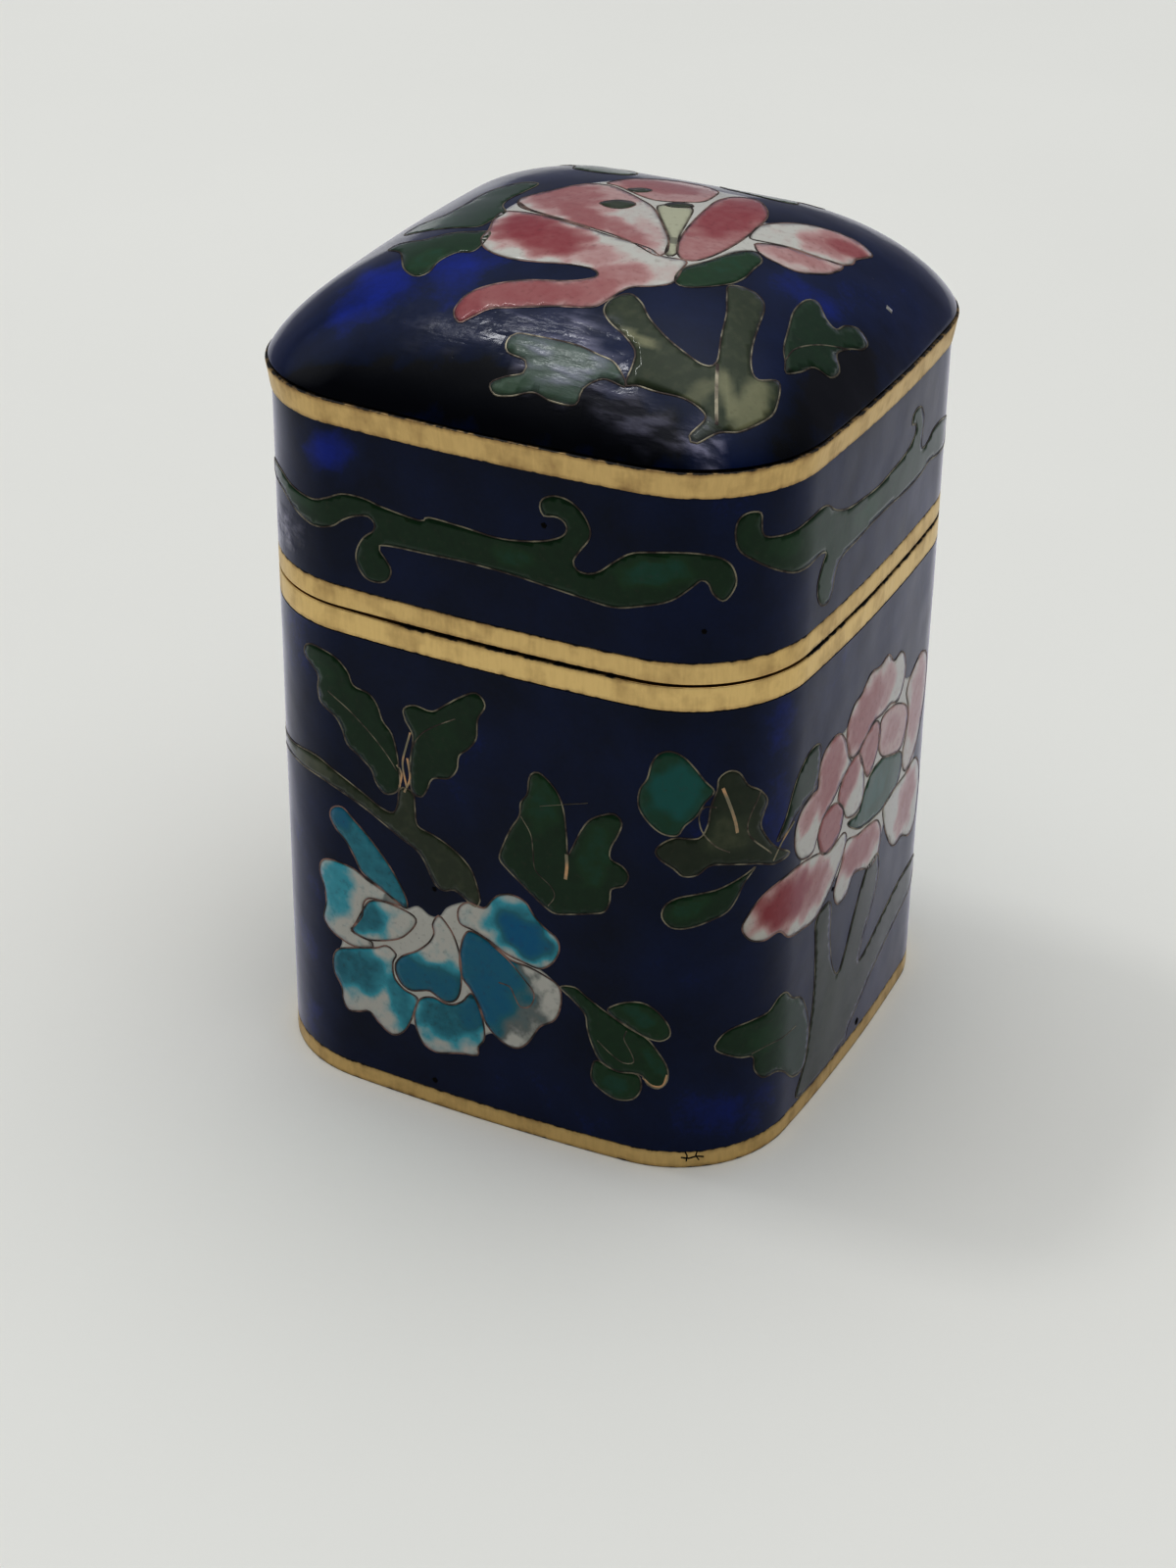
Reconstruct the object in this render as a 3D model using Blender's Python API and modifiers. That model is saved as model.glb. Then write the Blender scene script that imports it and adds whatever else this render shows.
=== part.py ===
"""A small square cloisonne jar with a domed lid that lifts off: enamelled copper with gilt rims.

The origin is at the centre of the foot and +Z is up. The front face looks along -Y.
Every piece follows one outline, seen from above: four faces that bow gently outwards,
joined by round corners. Blender, metres.
"""

import math

import bmesh
import bpy
from mathutils import Matrix, Vector

# Outline
WIDTH = 0.0420  # between the middles of two opposite faces
FACE_RADIUS = 0.187  # each face bows outwards on this radius
CORNER_RADIUS = 0.0095
ARC_STEPS = 8  # facets along each face, and round each corner

# Heights
BODY_HEIGHT = 0.04035  # foot to the top of the body's mouth rim
LID_BAND_HEIGHT = 0.01215  # enamelled side of the lid, between its two rims
DOME_HEIGHT = 0.0084  # dome above the shoulder rim
FOOT_RIM_HEIGHT = 0.00147
BODY_RIM_HEIGHT = 0.00188
LID_RIM_HEIGHT = 0.00165
SHOULDER_RIM_HEIGHT = 0.0020
FOOT_RECESS = 0.0006  # underside of the floor above the table

# Walls, of copper sheet with its enamel, and metal strips
BODY_WALL = 0.0020  # wall and floor
RIM_THICKNESS = 0.0010
RIM_CHAMFER = 0.00015
SHOULDER_PROUD_TOP = 0.0004  # top edge of the shoulder rim outside the faces
SHOULDER_PROUD_BOTTOM = 0.0001
COLLAR_THICKNESS = 0.0006
COLLAR_DEPTH = 0.0055  # collar below the body's mouth
COLLAR_RISE = 0.0035  # collar above it, inside the lid
COLLAR_LEAD_IN = 0.0002

# Clearances
SEAT_GAP = 0.0001  # between a strip and the wall that it is soldered to
LID_GAP = 0.00025  # dark seam between the two mouth rims
COLLAR_CLEARANCE = 0.00025  # between the collar and the lid around it

# Dome: how far its edge stands out, how full its sides are, how round its crown is
DOME_OVERHANG = 0.0002
DOME_FULLNESS = 2.87
DOME_CROWN = 1.22
DOME_STEPS = 11

CUT_PAST = 0.001  # a cutter reaches this far past what it cuts
WELD = 0.000001
SHARP_ANGLE = math.radians(30)


def arc_handle(radius, angle):
    """Length of the handles that bend one stretch of a Bezier curve into an arc."""
    return 4 / 3 * math.tan(angle / 4) * radius


def outline_curve(name):
    """The outline as a curve through the two ends of each face, counter-clockwise."""
    face_centre = WIDTH / 2 - FACE_RADIUS
    reach = FACE_RADIUS - CORNER_RADIUS
    corner_centre = (face_centre + math.sqrt(2 * reach**2 - face_centre**2)) / 2
    half_face = math.atan2(corner_centre, corner_centre - face_centre)
    face_handle = arc_handle(FACE_RADIUS, 2 * half_face)
    corner_handle = arc_handle(CORNER_RADIUS, math.pi / 2 - 2 * half_face)
    ends = ((-half_face, corner_handle, face_handle), (half_face, face_handle, corner_handle))
    curve = bpy.data.curves.new(name, "CURVE")
    curve.dimensions = "2D"
    curve.fill_mode = "NONE"
    curve.resolution_u = ARC_STEPS
    spline = curve.splines.new("BEZIER")
    spline.bezier_points.add(2 * 4 - 1)
    spline.use_cyclic_u = True
    for place, point in enumerate(spline.bezier_points):
        side = Matrix.Rotation(place // 2 * math.pi / 2, 3, "Z")
        angle, before, after = ends[place % 2]
        along = Vector((-math.sin(angle), math.cos(angle), 0.0))
        outwards = Vector((math.cos(angle), math.sin(angle), 0.0))
        middle = Vector((face_centre, 0.0, 0.0)) + FACE_RADIUS * outwards
        point.co = side @ middle
        point.handle_left = side @ (middle - before * along)
        point.handle_right = side @ (middle + after * along)
    return curve


def section_curve(name, section):
    """A closed section with straight sides."""
    curve = bpy.data.curves.new(name, "CURVE")
    curve.dimensions = "2D"
    spline = curve.splines.new("POLY")
    spline.points.add(len(section) - 1)
    spline.use_cyclic_u = True
    for point, (across, height) in zip(spline.points, section):
        point.co = (across, height, 0.0, 1.0)
    return curve


def mesh_from_curve(name, curve):
    """The welded mesh that a curve gives, with its faces pointing out."""
    guide = bpy.data.objects.new(name, curve)
    bpy.context.scene.collection.objects.link(guide)
    depsgraph = bpy.context.evaluated_depsgraph_get()
    mesh = bpy.data.meshes.new_from_object(guide.evaluated_get(depsgraph))
    mesh.name = name
    bpy.data.objects.remove(guide)
    build = bmesh.new()
    build.from_mesh(mesh)
    bmesh.ops.remove_doubles(build, verts=build.verts, dist=WELD)
    bmesh.ops.recalc_face_normals(build, faces=build.faces)
    build.to_mesh(mesh)
    build.free()
    return mesh


def swept(name, section):
    """A strip bent round the outline.

    The section's points are (distance outside the faces, height). The outline runs
    counter-clockwise, so its right-hand side, where a section has its -X, is the outside.
    """
    turned = [(-outside, height) for outside, height in section]
    profile = bpy.data.objects.new(name + "_section", section_curve(name + "_section", turned))
    bpy.context.scene.collection.objects.link(profile)
    path = outline_curve(name)
    path.bevel_mode = "OBJECT"
    path.bevel_object = profile
    mesh = mesh_from_curve(name, path)
    bpy.data.objects.remove(profile)
    return mesh


def shell(name, levels, crown):
    """An open surface, raised from the outline through levels of (height, size) and closed at the last.

    The middle of what closes it lies at the height called crown.
    """
    mesh = mesh_from_curve(name, outline_curve(name))
    build = bmesh.new()
    build.from_mesh(mesh)
    edges = build.edges[:]
    height_before, size_before = 0.0, 1.0
    for place, (height, size) in enumerate(levels):
        if place > 0:
            raised = bmesh.ops.extrude_edge_only(build, edges=edges)["geom"]
            edges = [part for part in raised if isinstance(part, bmesh.types.BMEdge)]
        corners = list({corner for edge in edges for corner in edge.verts})
        growth = size / size_before
        bmesh.ops.scale(build, vec=(growth, growth, 1.0), verts=corners)
        bmesh.ops.translate(build, vec=(0.0, 0.0, height - height_before), verts=corners)
        height_before, size_before = height, size
    cap = bmesh.ops.contextual_create(build, geom=edges)["faces"]
    if crown != height_before:
        middle = bmesh.ops.poke(build, faces=cap)["verts"][0]
        middle.co.z = crown
    bmesh.ops.recalc_face_normals(build, faces=build.faces)
    build.to_mesh(mesh)
    build.free()
    return mesh


def add_piece(mesh, finish):
    """The object for a mesh, shaded smooth between its sharp edges."""
    mesh.materials.append(finish)
    mesh.shade_smooth()
    mesh.set_sharp_from_angle(angle=SHARP_ANGLE)
    piece = bpy.data.objects.new(mesh.name, mesh)
    bpy.data.collections["cloisonne_jar"].objects.link(piece)
    return piece


def give_wall(piece, thickness):
    """Thickens an open surface inwards."""
    wall = piece.modifiers.new("wall", "SOLIDIFY")
    wall.thickness = thickness
    wall.offset = -1.0
    wall.use_even_offset = True


def cut_seat(piece, name, low, high):
    """Cuts the seat of a strip into the outside of a wall."""
    depth = -RIM_THICKNESS - SEAT_GAP
    section = [(depth, low), (CUT_PAST, low), (CUT_PAST, high), (depth, high)]
    cutter = bpy.data.objects.new(name, swept(name, section))
    cutter.hide_render = True
    cutter.display_type = "WIRE"
    bpy.data.collections["cutters"].objects.link(cutter)
    seat = piece.modifiers.new(name, "BOOLEAN")
    seat.operation = "DIFFERENCE"
    seat.object = cutter


def add_rim(name, low, high, finish, proud_bottom=0.0, proud_top=0.0):
    """A gilt strip with its outer edges lightly chamfered, flush with the faces or standing out."""
    section = [
        (-RIM_THICKNESS, low),
        (proud_bottom - RIM_CHAMFER, low),
        (proud_bottom, low + RIM_CHAMFER),
        (proud_top, high - RIM_CHAMFER),
        (proud_top - RIM_CHAMFER, high),
        (-RIM_THICKNESS, high),
    ]
    add_piece(swept(name, section), finish)


def add_body(enamel, gilt):
    """The enamelled vessel, the strip it stands on and the strip round its mouth."""
    rim_low = BODY_HEIGHT - BODY_RIM_HEIGHT
    levels = [(BODY_HEIGHT, 1.0), (FOOT_RECESS, 1.0)]
    body = add_piece(shell("jar_body", levels, FOOT_RECESS), enamel)
    give_wall(body, BODY_WALL)
    cut_seat(body, "foot_seat", FOOT_RECESS - CUT_PAST, FOOT_RIM_HEIGHT + SEAT_GAP)
    cut_seat(body, "body_mouth_seat", rim_low - SEAT_GAP, BODY_HEIGHT + CUT_PAST)
    add_rim("foot_rim", 0.0, FOOT_RIM_HEIGHT, gilt)
    add_rim("body_mouth_rim", rim_low, BODY_HEIGHT, gilt)


def add_collar(gilt):
    """The thin strip inside the mouth, which stands up into the lid and keeps it in place."""
    outer = -BODY_WALL - SEAT_GAP
    inner = outer - COLLAR_THICKNESS
    low = BODY_HEIGHT - COLLAR_DEPTH
    high = BODY_HEIGHT + COLLAR_RISE
    section = [
        (inner, low),
        (outer, low),
        (outer, high - COLLAR_LEAD_IN),
        (outer - COLLAR_LEAD_IN, high),
        (inner, high),
    ]
    add_piece(swept("inner_collar", section), gilt)


def dome_levels(edge):
    """Levels of a cushion-shaped dome whose edge is at the given height."""
    full_size = 1 + 2 * DOME_OVERHANG / WIDTH
    levels = []
    for step in range(DOME_STEPS):
        share = math.cos(step / DOME_STEPS * math.pi / 2)
        rise = (1 - share**DOME_FULLNESS) ** (1 / DOME_CROWN)
        levels.append((edge + DOME_HEIGHT * rise, full_size * share))
    return levels


def add_lid(enamel, gilt):
    """The enamelled lid with its dome, the strip round its mouth and the strip under its dome.

    Its wall is as thin as the collar inside it allows.
    """
    mouth = BODY_HEIGHT + LID_GAP
    band_low = mouth + LID_RIM_HEIGHT
    band_high = band_low + LID_BAND_HEIGHT
    shoulder = band_high + SHOULDER_RIM_HEIGHT
    dome_edge = shoulder + SEAT_GAP
    levels = [(mouth, 1.0), (band_high, 1.0)] + dome_levels(dome_edge)
    lid = add_piece(shell("lid", levels, dome_edge + DOME_HEIGHT), enamel)
    give_wall(lid, BODY_WALL + SEAT_GAP - COLLAR_CLEARANCE)
    cut_seat(lid, "lid_mouth_seat", mouth - CUT_PAST, band_low + SEAT_GAP)
    cut_seat(lid, "shoulder_seat", band_high - SEAT_GAP, dome_edge)
    add_rim("lid_mouth_rim", mouth, band_low, gilt)
    proud = (SHOULDER_PROUD_BOTTOM, SHOULDER_PROUD_TOP)
    add_rim("lid_shoulder_rim", band_high, shoulder, gilt, *proud)


def make_material(name, colour, roughness, metallic):
    material = bpy.data.materials.new(name)
    material.use_nodes = True
    shader = material.node_tree.nodes["Principled BSDF"]
    shader.inputs["Base Color"].default_value = (*colour, 1.0)
    shader.inputs["Roughness"].default_value = roughness
    shader.inputs["Metallic"].default_value = metallic
    return material


def main():
    for old in list(bpy.data.objects):
        bpy.data.objects.remove(old)
    for name in ("cloisonne_jar", "cutters"):
        collection = bpy.data.collections.new(name)
        bpy.context.scene.collection.children.link(collection)
    enamel = make_material("blue_enamel", (0.008, 0.014, 0.12), 0.12, 0.0)
    gilt = make_material("worn_gilt", (0.62, 0.45, 0.17), 0.35, 1.0)
    add_body(enamel, gilt)
    add_collar(gilt)
    add_lid(enamel, gilt)


main()
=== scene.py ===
"""The looks of a small square cloisonne jar: enamel, wires, gilding, and the stage it stands on.

Sizes are in metres. The ornament is drawn in millimetres: on the walls by the distance round
the jar from the middle of the front face and the height above the foot, on the dome by x and y.

A cell of enamel is (wash, blots, edge): the wash is its colour's place among its finish's stops,
each blot (x, y, long radius, short radius, turn in degrees, strength) raises the wash, and the
edge is a list of points. A line of wire is (width as a share of a plain wire's, points).
"""

import math

import bmesh
import bpy
import numpy as np
from mathutils import Matrix, Vector
from mathutils.geometry import delaunay_2d_cdt


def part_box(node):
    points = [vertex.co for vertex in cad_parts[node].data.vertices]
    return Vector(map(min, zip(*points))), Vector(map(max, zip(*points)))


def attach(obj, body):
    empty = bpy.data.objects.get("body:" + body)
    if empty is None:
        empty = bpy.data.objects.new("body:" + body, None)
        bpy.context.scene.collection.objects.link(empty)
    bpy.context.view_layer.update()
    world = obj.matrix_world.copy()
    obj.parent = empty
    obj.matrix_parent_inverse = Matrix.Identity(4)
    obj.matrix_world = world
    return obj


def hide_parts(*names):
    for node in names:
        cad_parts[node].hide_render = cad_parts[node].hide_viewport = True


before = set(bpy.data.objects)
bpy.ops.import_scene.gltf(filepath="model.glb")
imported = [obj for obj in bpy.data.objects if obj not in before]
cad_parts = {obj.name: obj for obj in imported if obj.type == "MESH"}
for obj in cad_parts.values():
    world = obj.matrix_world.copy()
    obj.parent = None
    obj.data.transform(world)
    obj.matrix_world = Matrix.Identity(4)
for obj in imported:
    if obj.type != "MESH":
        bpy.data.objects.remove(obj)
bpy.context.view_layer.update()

bl_info = {
    "name": "Cloisonne Jar",
    "version": (1, 0, 0),
    "blender": (4, 5, 0),
    "location": "View3D > Sidebar > Jar",
    "description": "Enamel, wires and gilding for a small square jar with a domed lid",
    "category": "Object",
}

MM = 0.001
HALF_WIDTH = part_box("jar_body")[1].x
BODY_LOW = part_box("jar_body")[0].z
FOOT_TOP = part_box("foot_rim")[1].z
MOUTH_RIM_LOW, MOUTH = (corner.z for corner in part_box("body_mouth_rim"))
LID_MOUTH, BAND_LOW = (corner.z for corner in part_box("lid_mouth_rim"))
BAND_HIGH, SHOULDER = (corner.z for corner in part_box("lid_shoulder_rim"))
SHOULDER_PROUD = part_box("lid_shoulder_rim")[1].x - HALF_WIDTH
DOME_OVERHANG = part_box("lid")[1].x - HALF_WIDTH
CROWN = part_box("lid")[1].z
COLLAR_LOW, COLLAR_HIGH = (corner.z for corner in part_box("inner_collar"))
COLLAR_INSET = HALF_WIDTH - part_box("inner_collar")[1].x
SEAT_GAP = 0.1 * MM  # between a rim and the walls that it is set into
RIM_DEPTH = 1.0 * MM  # how far a rim is let into the wall
RIM_SOFTNESS = 0.09 * MM  # radius of a rim's worn edges
LID_PLAY = 0.15 * MM  # between the collar and the lid
INNER_STEP = 4 * MM  # between the levels of an inner wall
INNER_DOME_DROP = 0.3 * MM  # how far below the shoulder the dome's underside starts
DOME_RINGS = 56
CROWN_SHARE = 0.02  # size of the ring at the crown
MERGE_DISTANCE = 0.001 * MM
CELL_THICKNESS = 0.1 * MM
SMOOTH_ANGLE = 40  # degrees; sharper edges stay sharp
WIRE_SMOOTH_ANGLE = 50


def length_setting(name, description, default):
    return bpy.props.FloatProperty(
        name=name, description=description, default=default, unit="LENGTH")


def colour_setting(name, description, *colour):
    return bpy.props.FloatVectorProperty(
        name=name, description=description, default=colour, subtype="COLOR")


class JarSizes(bpy.types.PropertyGroup):
    """Sizes of the jar's outline, enamel and wires."""

    face_radius: length_setting("Face radius", "Bow of each face", 0.187)
    corner_radius: length_setting("Corner radius", "Radius of the four upright corners", 0.0095)
    dome_fullness: bpy.props.FloatProperty(
        name="Dome fullness", description="How full the dome's sides are", default=2.87)
    dome_crown: bpy.props.FloatProperty(
        name="Dome crown", description="How round the dome's crown is", default=1.22)
    wire_width: length_setting("Wire width", "Width of the wires between the enamels", 0.00012)
    wire_rise: length_setting("Wire rise", "Height of a wire above the ground enamel", 0.00004)
    cell_rise: length_setting("Cell rise", "Height of a coloured cell above the ground", 0.00002)
    waviness: length_setting("Waviness", "Unevenness of the polished enamel", 0.00003)


class JarColours(bpy.types.PropertyGroup):
    """Colours of the enamels and metals."""

    cobalt_dark: colour_setting("Dark cobalt", "Ground enamel where it is thick", 0.001, 0.006, 0.024)
    cobalt: colour_setting("Cobalt", "Ground enamel", 0.004, 0.014, 0.060)
    # Painted glow: the ground drawn brighter blue where light coming back through the enamel would show.
    cobalt_painted_glow: colour_setting(
        "Bright cobalt", "Ground enamel where light comes back through it", 0.007, 0.030, 0.30)
    white: colour_setting("White", "Petal edges", 0.56, 0.55, 0.505)
    smoke: colour_setting("Smoky white", "Thin white over the dark ground", 0.20, 0.22, 0.21)
    turquoise: colour_setting("Turquoise", "Blue peony's petals", 0.08, 0.39, 0.47)
    teal: colour_setting("Teal", "Darker turquoise of the flower's middle", 0.034, 0.185, 0.235)
    deep_turquoise: colour_setting("Deep turquoise", "Blue peony's darkest petals", 0.006, 0.15, 0.29)
    blush: colour_setting("Blush", "Palest pink of the petals", 0.52, 0.36, 0.34)
    rose: colour_setting("Rose", "Pink peony's petals", 0.38, 0.175, 0.17)
    crimson: colour_setting("Crimson", "Pink peony's darkest petals", 0.29, 0.062, 0.072)
    leaf_dark: colour_setting("Dark leaf", "Leaves where they are thickest", 0.013, 0.022, 0.014)
    leaf: colour_setting("Leaf", "Leaves", 0.022, 0.065, 0.027)
    leaf_teal: colour_setting("Teal leaf", "Leaves with the most blue in them", 0.018, 0.13, 0.115)
    leaf_pale: colour_setting("Pale leaf", "Grey-green of the scuffed leaf", 0.15, 0.19, 0.155)
    cream: colour_setting("Cream", "Greenish white beside the flower's heart", 0.46, 0.46, 0.34)
    stem: colour_setting("Stem", "Stems", 0.050, 0.064, 0.038)
    olive: colour_setting("Olive", "Stems at their palest", 0.23, 0.23, 0.14)
    gilt: colour_setting("Gilt", "Worn gilding", 0.73, 0.55, 0.27)
    gilt_dull: colour_setting("Dull gilt", "Gilding under brown patina", 0.38, 0.26, 0.13)
    copper: colour_setting("Copper", "Wires", 0.27, 0.245, 0.185)
    bare_copper: colour_setting("Bare copper", "Wire worn bright", 0.52, 0.34, 0.21)
    petal_wire: colour_setting("Petal wire", "Dull wire between petals", 0.30, 0.19, 0.16)
    tarnish: colour_setting("Tarnish", "Dark stretches of the wires", 0.06, 0.045, 0.04)
    floor: colour_setting("Floor", "Surface under the jar", 0.80, 0.79, 0.75)


def sizes():
    return bpy.context.scene.jar_sizes


def colours():
    return bpy.context.scene.jar_colours


def outline_measures():
    """Face centre, corner centre, half the face's angle, and the lengths of a face and a side."""
    face_centre = HALF_WIDTH - sizes().face_radius
    reach = sizes().face_radius - sizes().corner_radius
    corner_centre = (face_centre + math.sqrt(2 * reach**2 - face_centre**2)) / 2
    half_face = math.atan2(corner_centre, corner_centre - face_centre)
    face = 2 * half_face * sizes().face_radius
    side = face + (math.pi / 2 - 2 * half_face) * sizes().corner_radius
    return face_centre, corner_centre, half_face, face, side


SWELL_TURNS = (310, 270)  # radians in each metre along and up
RIPPLE_TURNS = (620, 410)
RIPPLE_SHARE = 0.6


def wave(along, height):
    """Slow unevenness of hand-polished enamel, inwards only."""
    swell = np.sin(along * SWELL_TURNS[0] + 1.3) * np.sin(height * SWELL_TURNS[1] + 0.4)
    ripple = np.sin(along * RIPPLE_TURNS[0] - height * RIPPLE_TURNS[1] + 2.1)
    both = swell + RIPPLE_SHARE * ripple
    return sizes().waviness * (both / (2 + 2 * RIPPLE_SHARE) - 0.5)


def on_wall(along, height, lift=0.0):
    """Points and outward directions on the wall: along is the distance round it from the front."""
    along, height = np.broadcast_arrays(np.asarray(along, float), np.asarray(height, float))
    face_centre, corner_centre, half_face, face, side = outline_measures()
    number = np.floor((along + face / 2) / side)
    place = along + face / 2 - number * side
    flat = place < face
    face_angle = place / sizes().face_radius - half_face
    corner_angle = half_face + (place - face) / sizes().corner_radius
    angle = np.where(flat, face_angle, corner_angle)
    reach = np.where(flat, sizes().face_radius, sizes().corner_radius) + lift + wave(along, height)
    across = np.where(flat, face_centre, corner_centre) + reach * np.cos(angle)
    beside = np.where(flat, 0.0, corner_centre) + reach * np.sin(angle)
    turn = (number - 1) * math.pi / 2
    points = np.stack([
        across * np.cos(turn) - beside * np.sin(turn),
        across * np.sin(turn) + beside * np.cos(turn),
        height,
    ], axis=-1)
    outwards = np.stack([np.cos(angle + turn), np.sin(angle + turn), 0 * angle], axis=-1)
    return points, outwards


def outline_reach(angle):
    """Distance from the axis to the outline in each direction."""
    face_centre, corner_centre, half_face, _, _ = outline_measures()
    radius, small = sizes().face_radius, sizes().corner_radius
    turned = np.mod(angle + math.pi / 4, math.pi / 2) - math.pi / 4
    sine = np.abs(np.sin(turned))
    cosine = np.cos(turned)
    face_reach = face_centre * cosine + np.sqrt(radius**2 - (face_centre * sine) ** 2)
    middle = corner_centre * (cosine + sine)
    rest = np.maximum(middle**2 - 2 * corner_centre**2 + small**2, 0.0)
    limit = math.atan2(radius * math.sin(half_face), face_centre + radius * math.cos(half_face))
    return np.where(np.abs(turned) < limit, face_reach, middle + np.sqrt(rest))


def dome_height(x, y):
    """Height of the dome's enamel over each point."""
    full = 1 + DOME_OVERHANG / HALF_WIDTH
    share = np.hypot(x, y) / (outline_reach(np.arctan2(y, x)) * full)
    edge = SHOULDER + SEAT_GAP
    crown = CROWN - 2 * sizes().wire_rise
    rise = np.maximum(1 - share ** sizes().dome_fullness, 0.0) ** (1 / sizes().dome_crown)
    return edge + (crown - edge) * rise + wave(x * 1.3 + 0.02, y * 1.3)


def on_dome(x, y, lift=0.0):
    """Points and outward directions on the dome."""
    x, y = np.broadcast_arrays(np.asarray(x, float), np.asarray(y, float))
    step = 0.05 * MM
    slope_x = (dome_height(x + step, y) - dome_height(x - step, y)) / (2 * step)
    slope_y = (dome_height(x, y + step) - dome_height(x, y - step)) / (2 * step)
    outwards = np.stack([-slope_x, -slope_y, np.ones_like(x)], axis=-1)
    outwards /= np.linalg.norm(outwards, axis=-1, keepdims=True)
    points = np.stack([x, y, dome_height(x, y)], axis=-1) + lift * outwards
    return points, outwards


def deselect_all():
    if bpy.context.object and bpy.context.object.mode != "OBJECT":
        bpy.ops.object.mode_set(mode="OBJECT")
    bpy.ops.object.select_all(action="DESELECT")


def raised(name, level_points, closed=False):
    """A surface extruded from a circle of vertices, level by level.

    level_points holds one array of points for each level. A closed one ends where it starts;
    an open one has its first and last levels filled.
    """
    deselect_all()
    bpy.ops.mesh.primitive_circle_add(vertices=len(level_points[0]), radius=HALF_WIDTH)
    piece = bpy.context.object
    piece.name = piece.data.name = name
    bpy.ops.object.mode_set(mode="EDIT")
    build = bmesh.from_edit_mesh(piece.data)
    place = build.verts.layers.int.new("place")
    for number, corner in enumerate(build.verts):
        corner[place] = number
    for number, points in enumerate(level_points):
        if number:
            bpy.ops.mesh.extrude_region_move()
            build = bmesh.from_edit_mesh(piece.data)
            place = build.verts.layers.int["place"]
        elif not closed:
            bpy.ops.mesh.edge_face_add()
            build = bmesh.from_edit_mesh(piece.data)
            bpy.ops.mesh.select_all(action="SELECT")
        for corner in build.verts:
            if corner.select:
                corner.co = points[corner[place]]
        if number == 0 and not closed:
            bpy.ops.mesh.select_mode(type="EDGE")
            bpy.ops.mesh.region_to_loop()
    if not closed:
        bpy.ops.mesh.edge_face_add()
    bpy.ops.mesh.select_mode(type="VERT")
    bpy.ops.mesh.select_all(action="SELECT")
    bpy.ops.mesh.remove_doubles(threshold=MERGE_DISTANCE)
    bpy.ops.mesh.normals_make_consistent(inside=False)
    bpy.ops.object.mode_set(mode="OBJECT")
    bpy.ops.object.shade_smooth_by_angle(angle=math.radians(SMOOTH_ANGLE))
    return piece


ROUND_STEPS = 64  # points round each side of the jar


def round_places():
    """Distances round the jar, closer together at the corners."""
    _, _, _, face, side = outline_measures()
    half = ROUND_STEPS // 2
    on_face = np.arange(half) / half * face - face / 2
    on_corner = face / 2 + np.arange(half) / half * (side - face)
    return np.concatenate([np.concatenate([on_face, on_corner]) + n * side for n in range(4)])


def wall_levels(section):
    """Rings of points for a section of (outset, height) points."""
    along = round_places()
    return [on_wall(along, height, outset)[0] for outset, height in section]


def upright(outset, low, high, step=0.8 * MM):
    """Levels up or down a plain stretch of wall."""
    count = max(2, round(abs(high - low) / step) + 1)
    return [(outset, height) for height in np.linspace(low, high, count)]


def add_values(piece, name, values):
    piece.data.attributes.new(name, "FLOAT", "POINT").data.foreach_set("value", values)


def coordinates(piece):
    flat = np.empty(len(piece.data.vertices) * 3, np.float32)
    piece.data.vertices.foreach_get("co", flat)
    return flat.reshape(-1, 3).astype(float)


def unrolled(piece):
    """The piece's points by their distance round the jar and their height, in millimetres."""
    points = coordinates(piece)
    places = round_places()
    ring = on_wall(places, np.zeros_like(places))[0]
    angles = np.unwrap(np.arctan2(ring[:, 1], ring[:, 0]))
    angle = np.mod(np.arctan2(points[:, 1], points[:, 0]) - angles[0], 2 * math.pi) + angles[0]
    whole = 4 * outline_measures()[4]
    along = np.interp(angle, angles, places)
    along = np.where(along > whole / 2, along - whole, along)
    return np.stack([along, points[:, 2]], axis=1) / MM


def finish_piece(piece, finish, slot, *nodes):
    """Gives a piece its finish, sets it on the jar, and hides the CAD nodes that it stands for."""
    piece.data.materials.clear()
    piece.data.materials.append(bpy.data.materials[finish])
    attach(piece, "root")
    if nodes:
        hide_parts(*nodes)


def wide(colour):
    """A colour with its alpha; a socket stays as it is."""
    if isinstance(colour, bpy.types.NodeSocket):
        return colour
    return (*colour, 1.0)


class Nodes:
    """A node tree being made."""

    def __init__(self, tree):
        self.tree = tree
        self.coordinates = tree.nodes.new("ShaderNodeTexCoord").outputs

    def node(self, kind, inputs, output=0, **settings):
        """Adds a node, sets it up, links or fills its inputs, and returns one of its outputs."""
        node = self.tree.nodes.new(kind)
        for name, value in settings.items():
            setattr(node, name, value)
        for key, value in inputs.items():
            if isinstance(value, bpy.types.NodeSocket):
                self.tree.links.new(value, node.inputs[key])
            elif value is not None:
                node.inputs[key].default_value = value
        return node.outputs[output]

    def levels(self, value, low, high, to_low=0.0, to_high=1.0):
        """The value, with the range from low to high stretched to the new one."""
        inputs = {"Value": value, "From Min": low, "From Max": high, "To Min": to_low,
                  "To Max": to_high}
        return self.node("ShaderNodeMapRange", inputs)

    def maths(self, operation, first, second):
        return self.node("ShaderNodeMath", {0: first, 1: second}, operation=operation)

    def facing(self, direction):
        """How nearly the direction of the sky is the given one: 1 where it is the same."""
        inputs = {0: self.coordinates["Generated"], 1: direction}
        return self.node("ShaderNodeVectorMath", inputs, output=1, operation="DOT_PRODUCT")

    def mix(self, share, first, second):
        inputs = {"Factor": share, 6: wide(first), 7: wide(second)}
        return self.node("ShaderNodeMix", inputs, output=2, data_type="RGBA")


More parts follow.
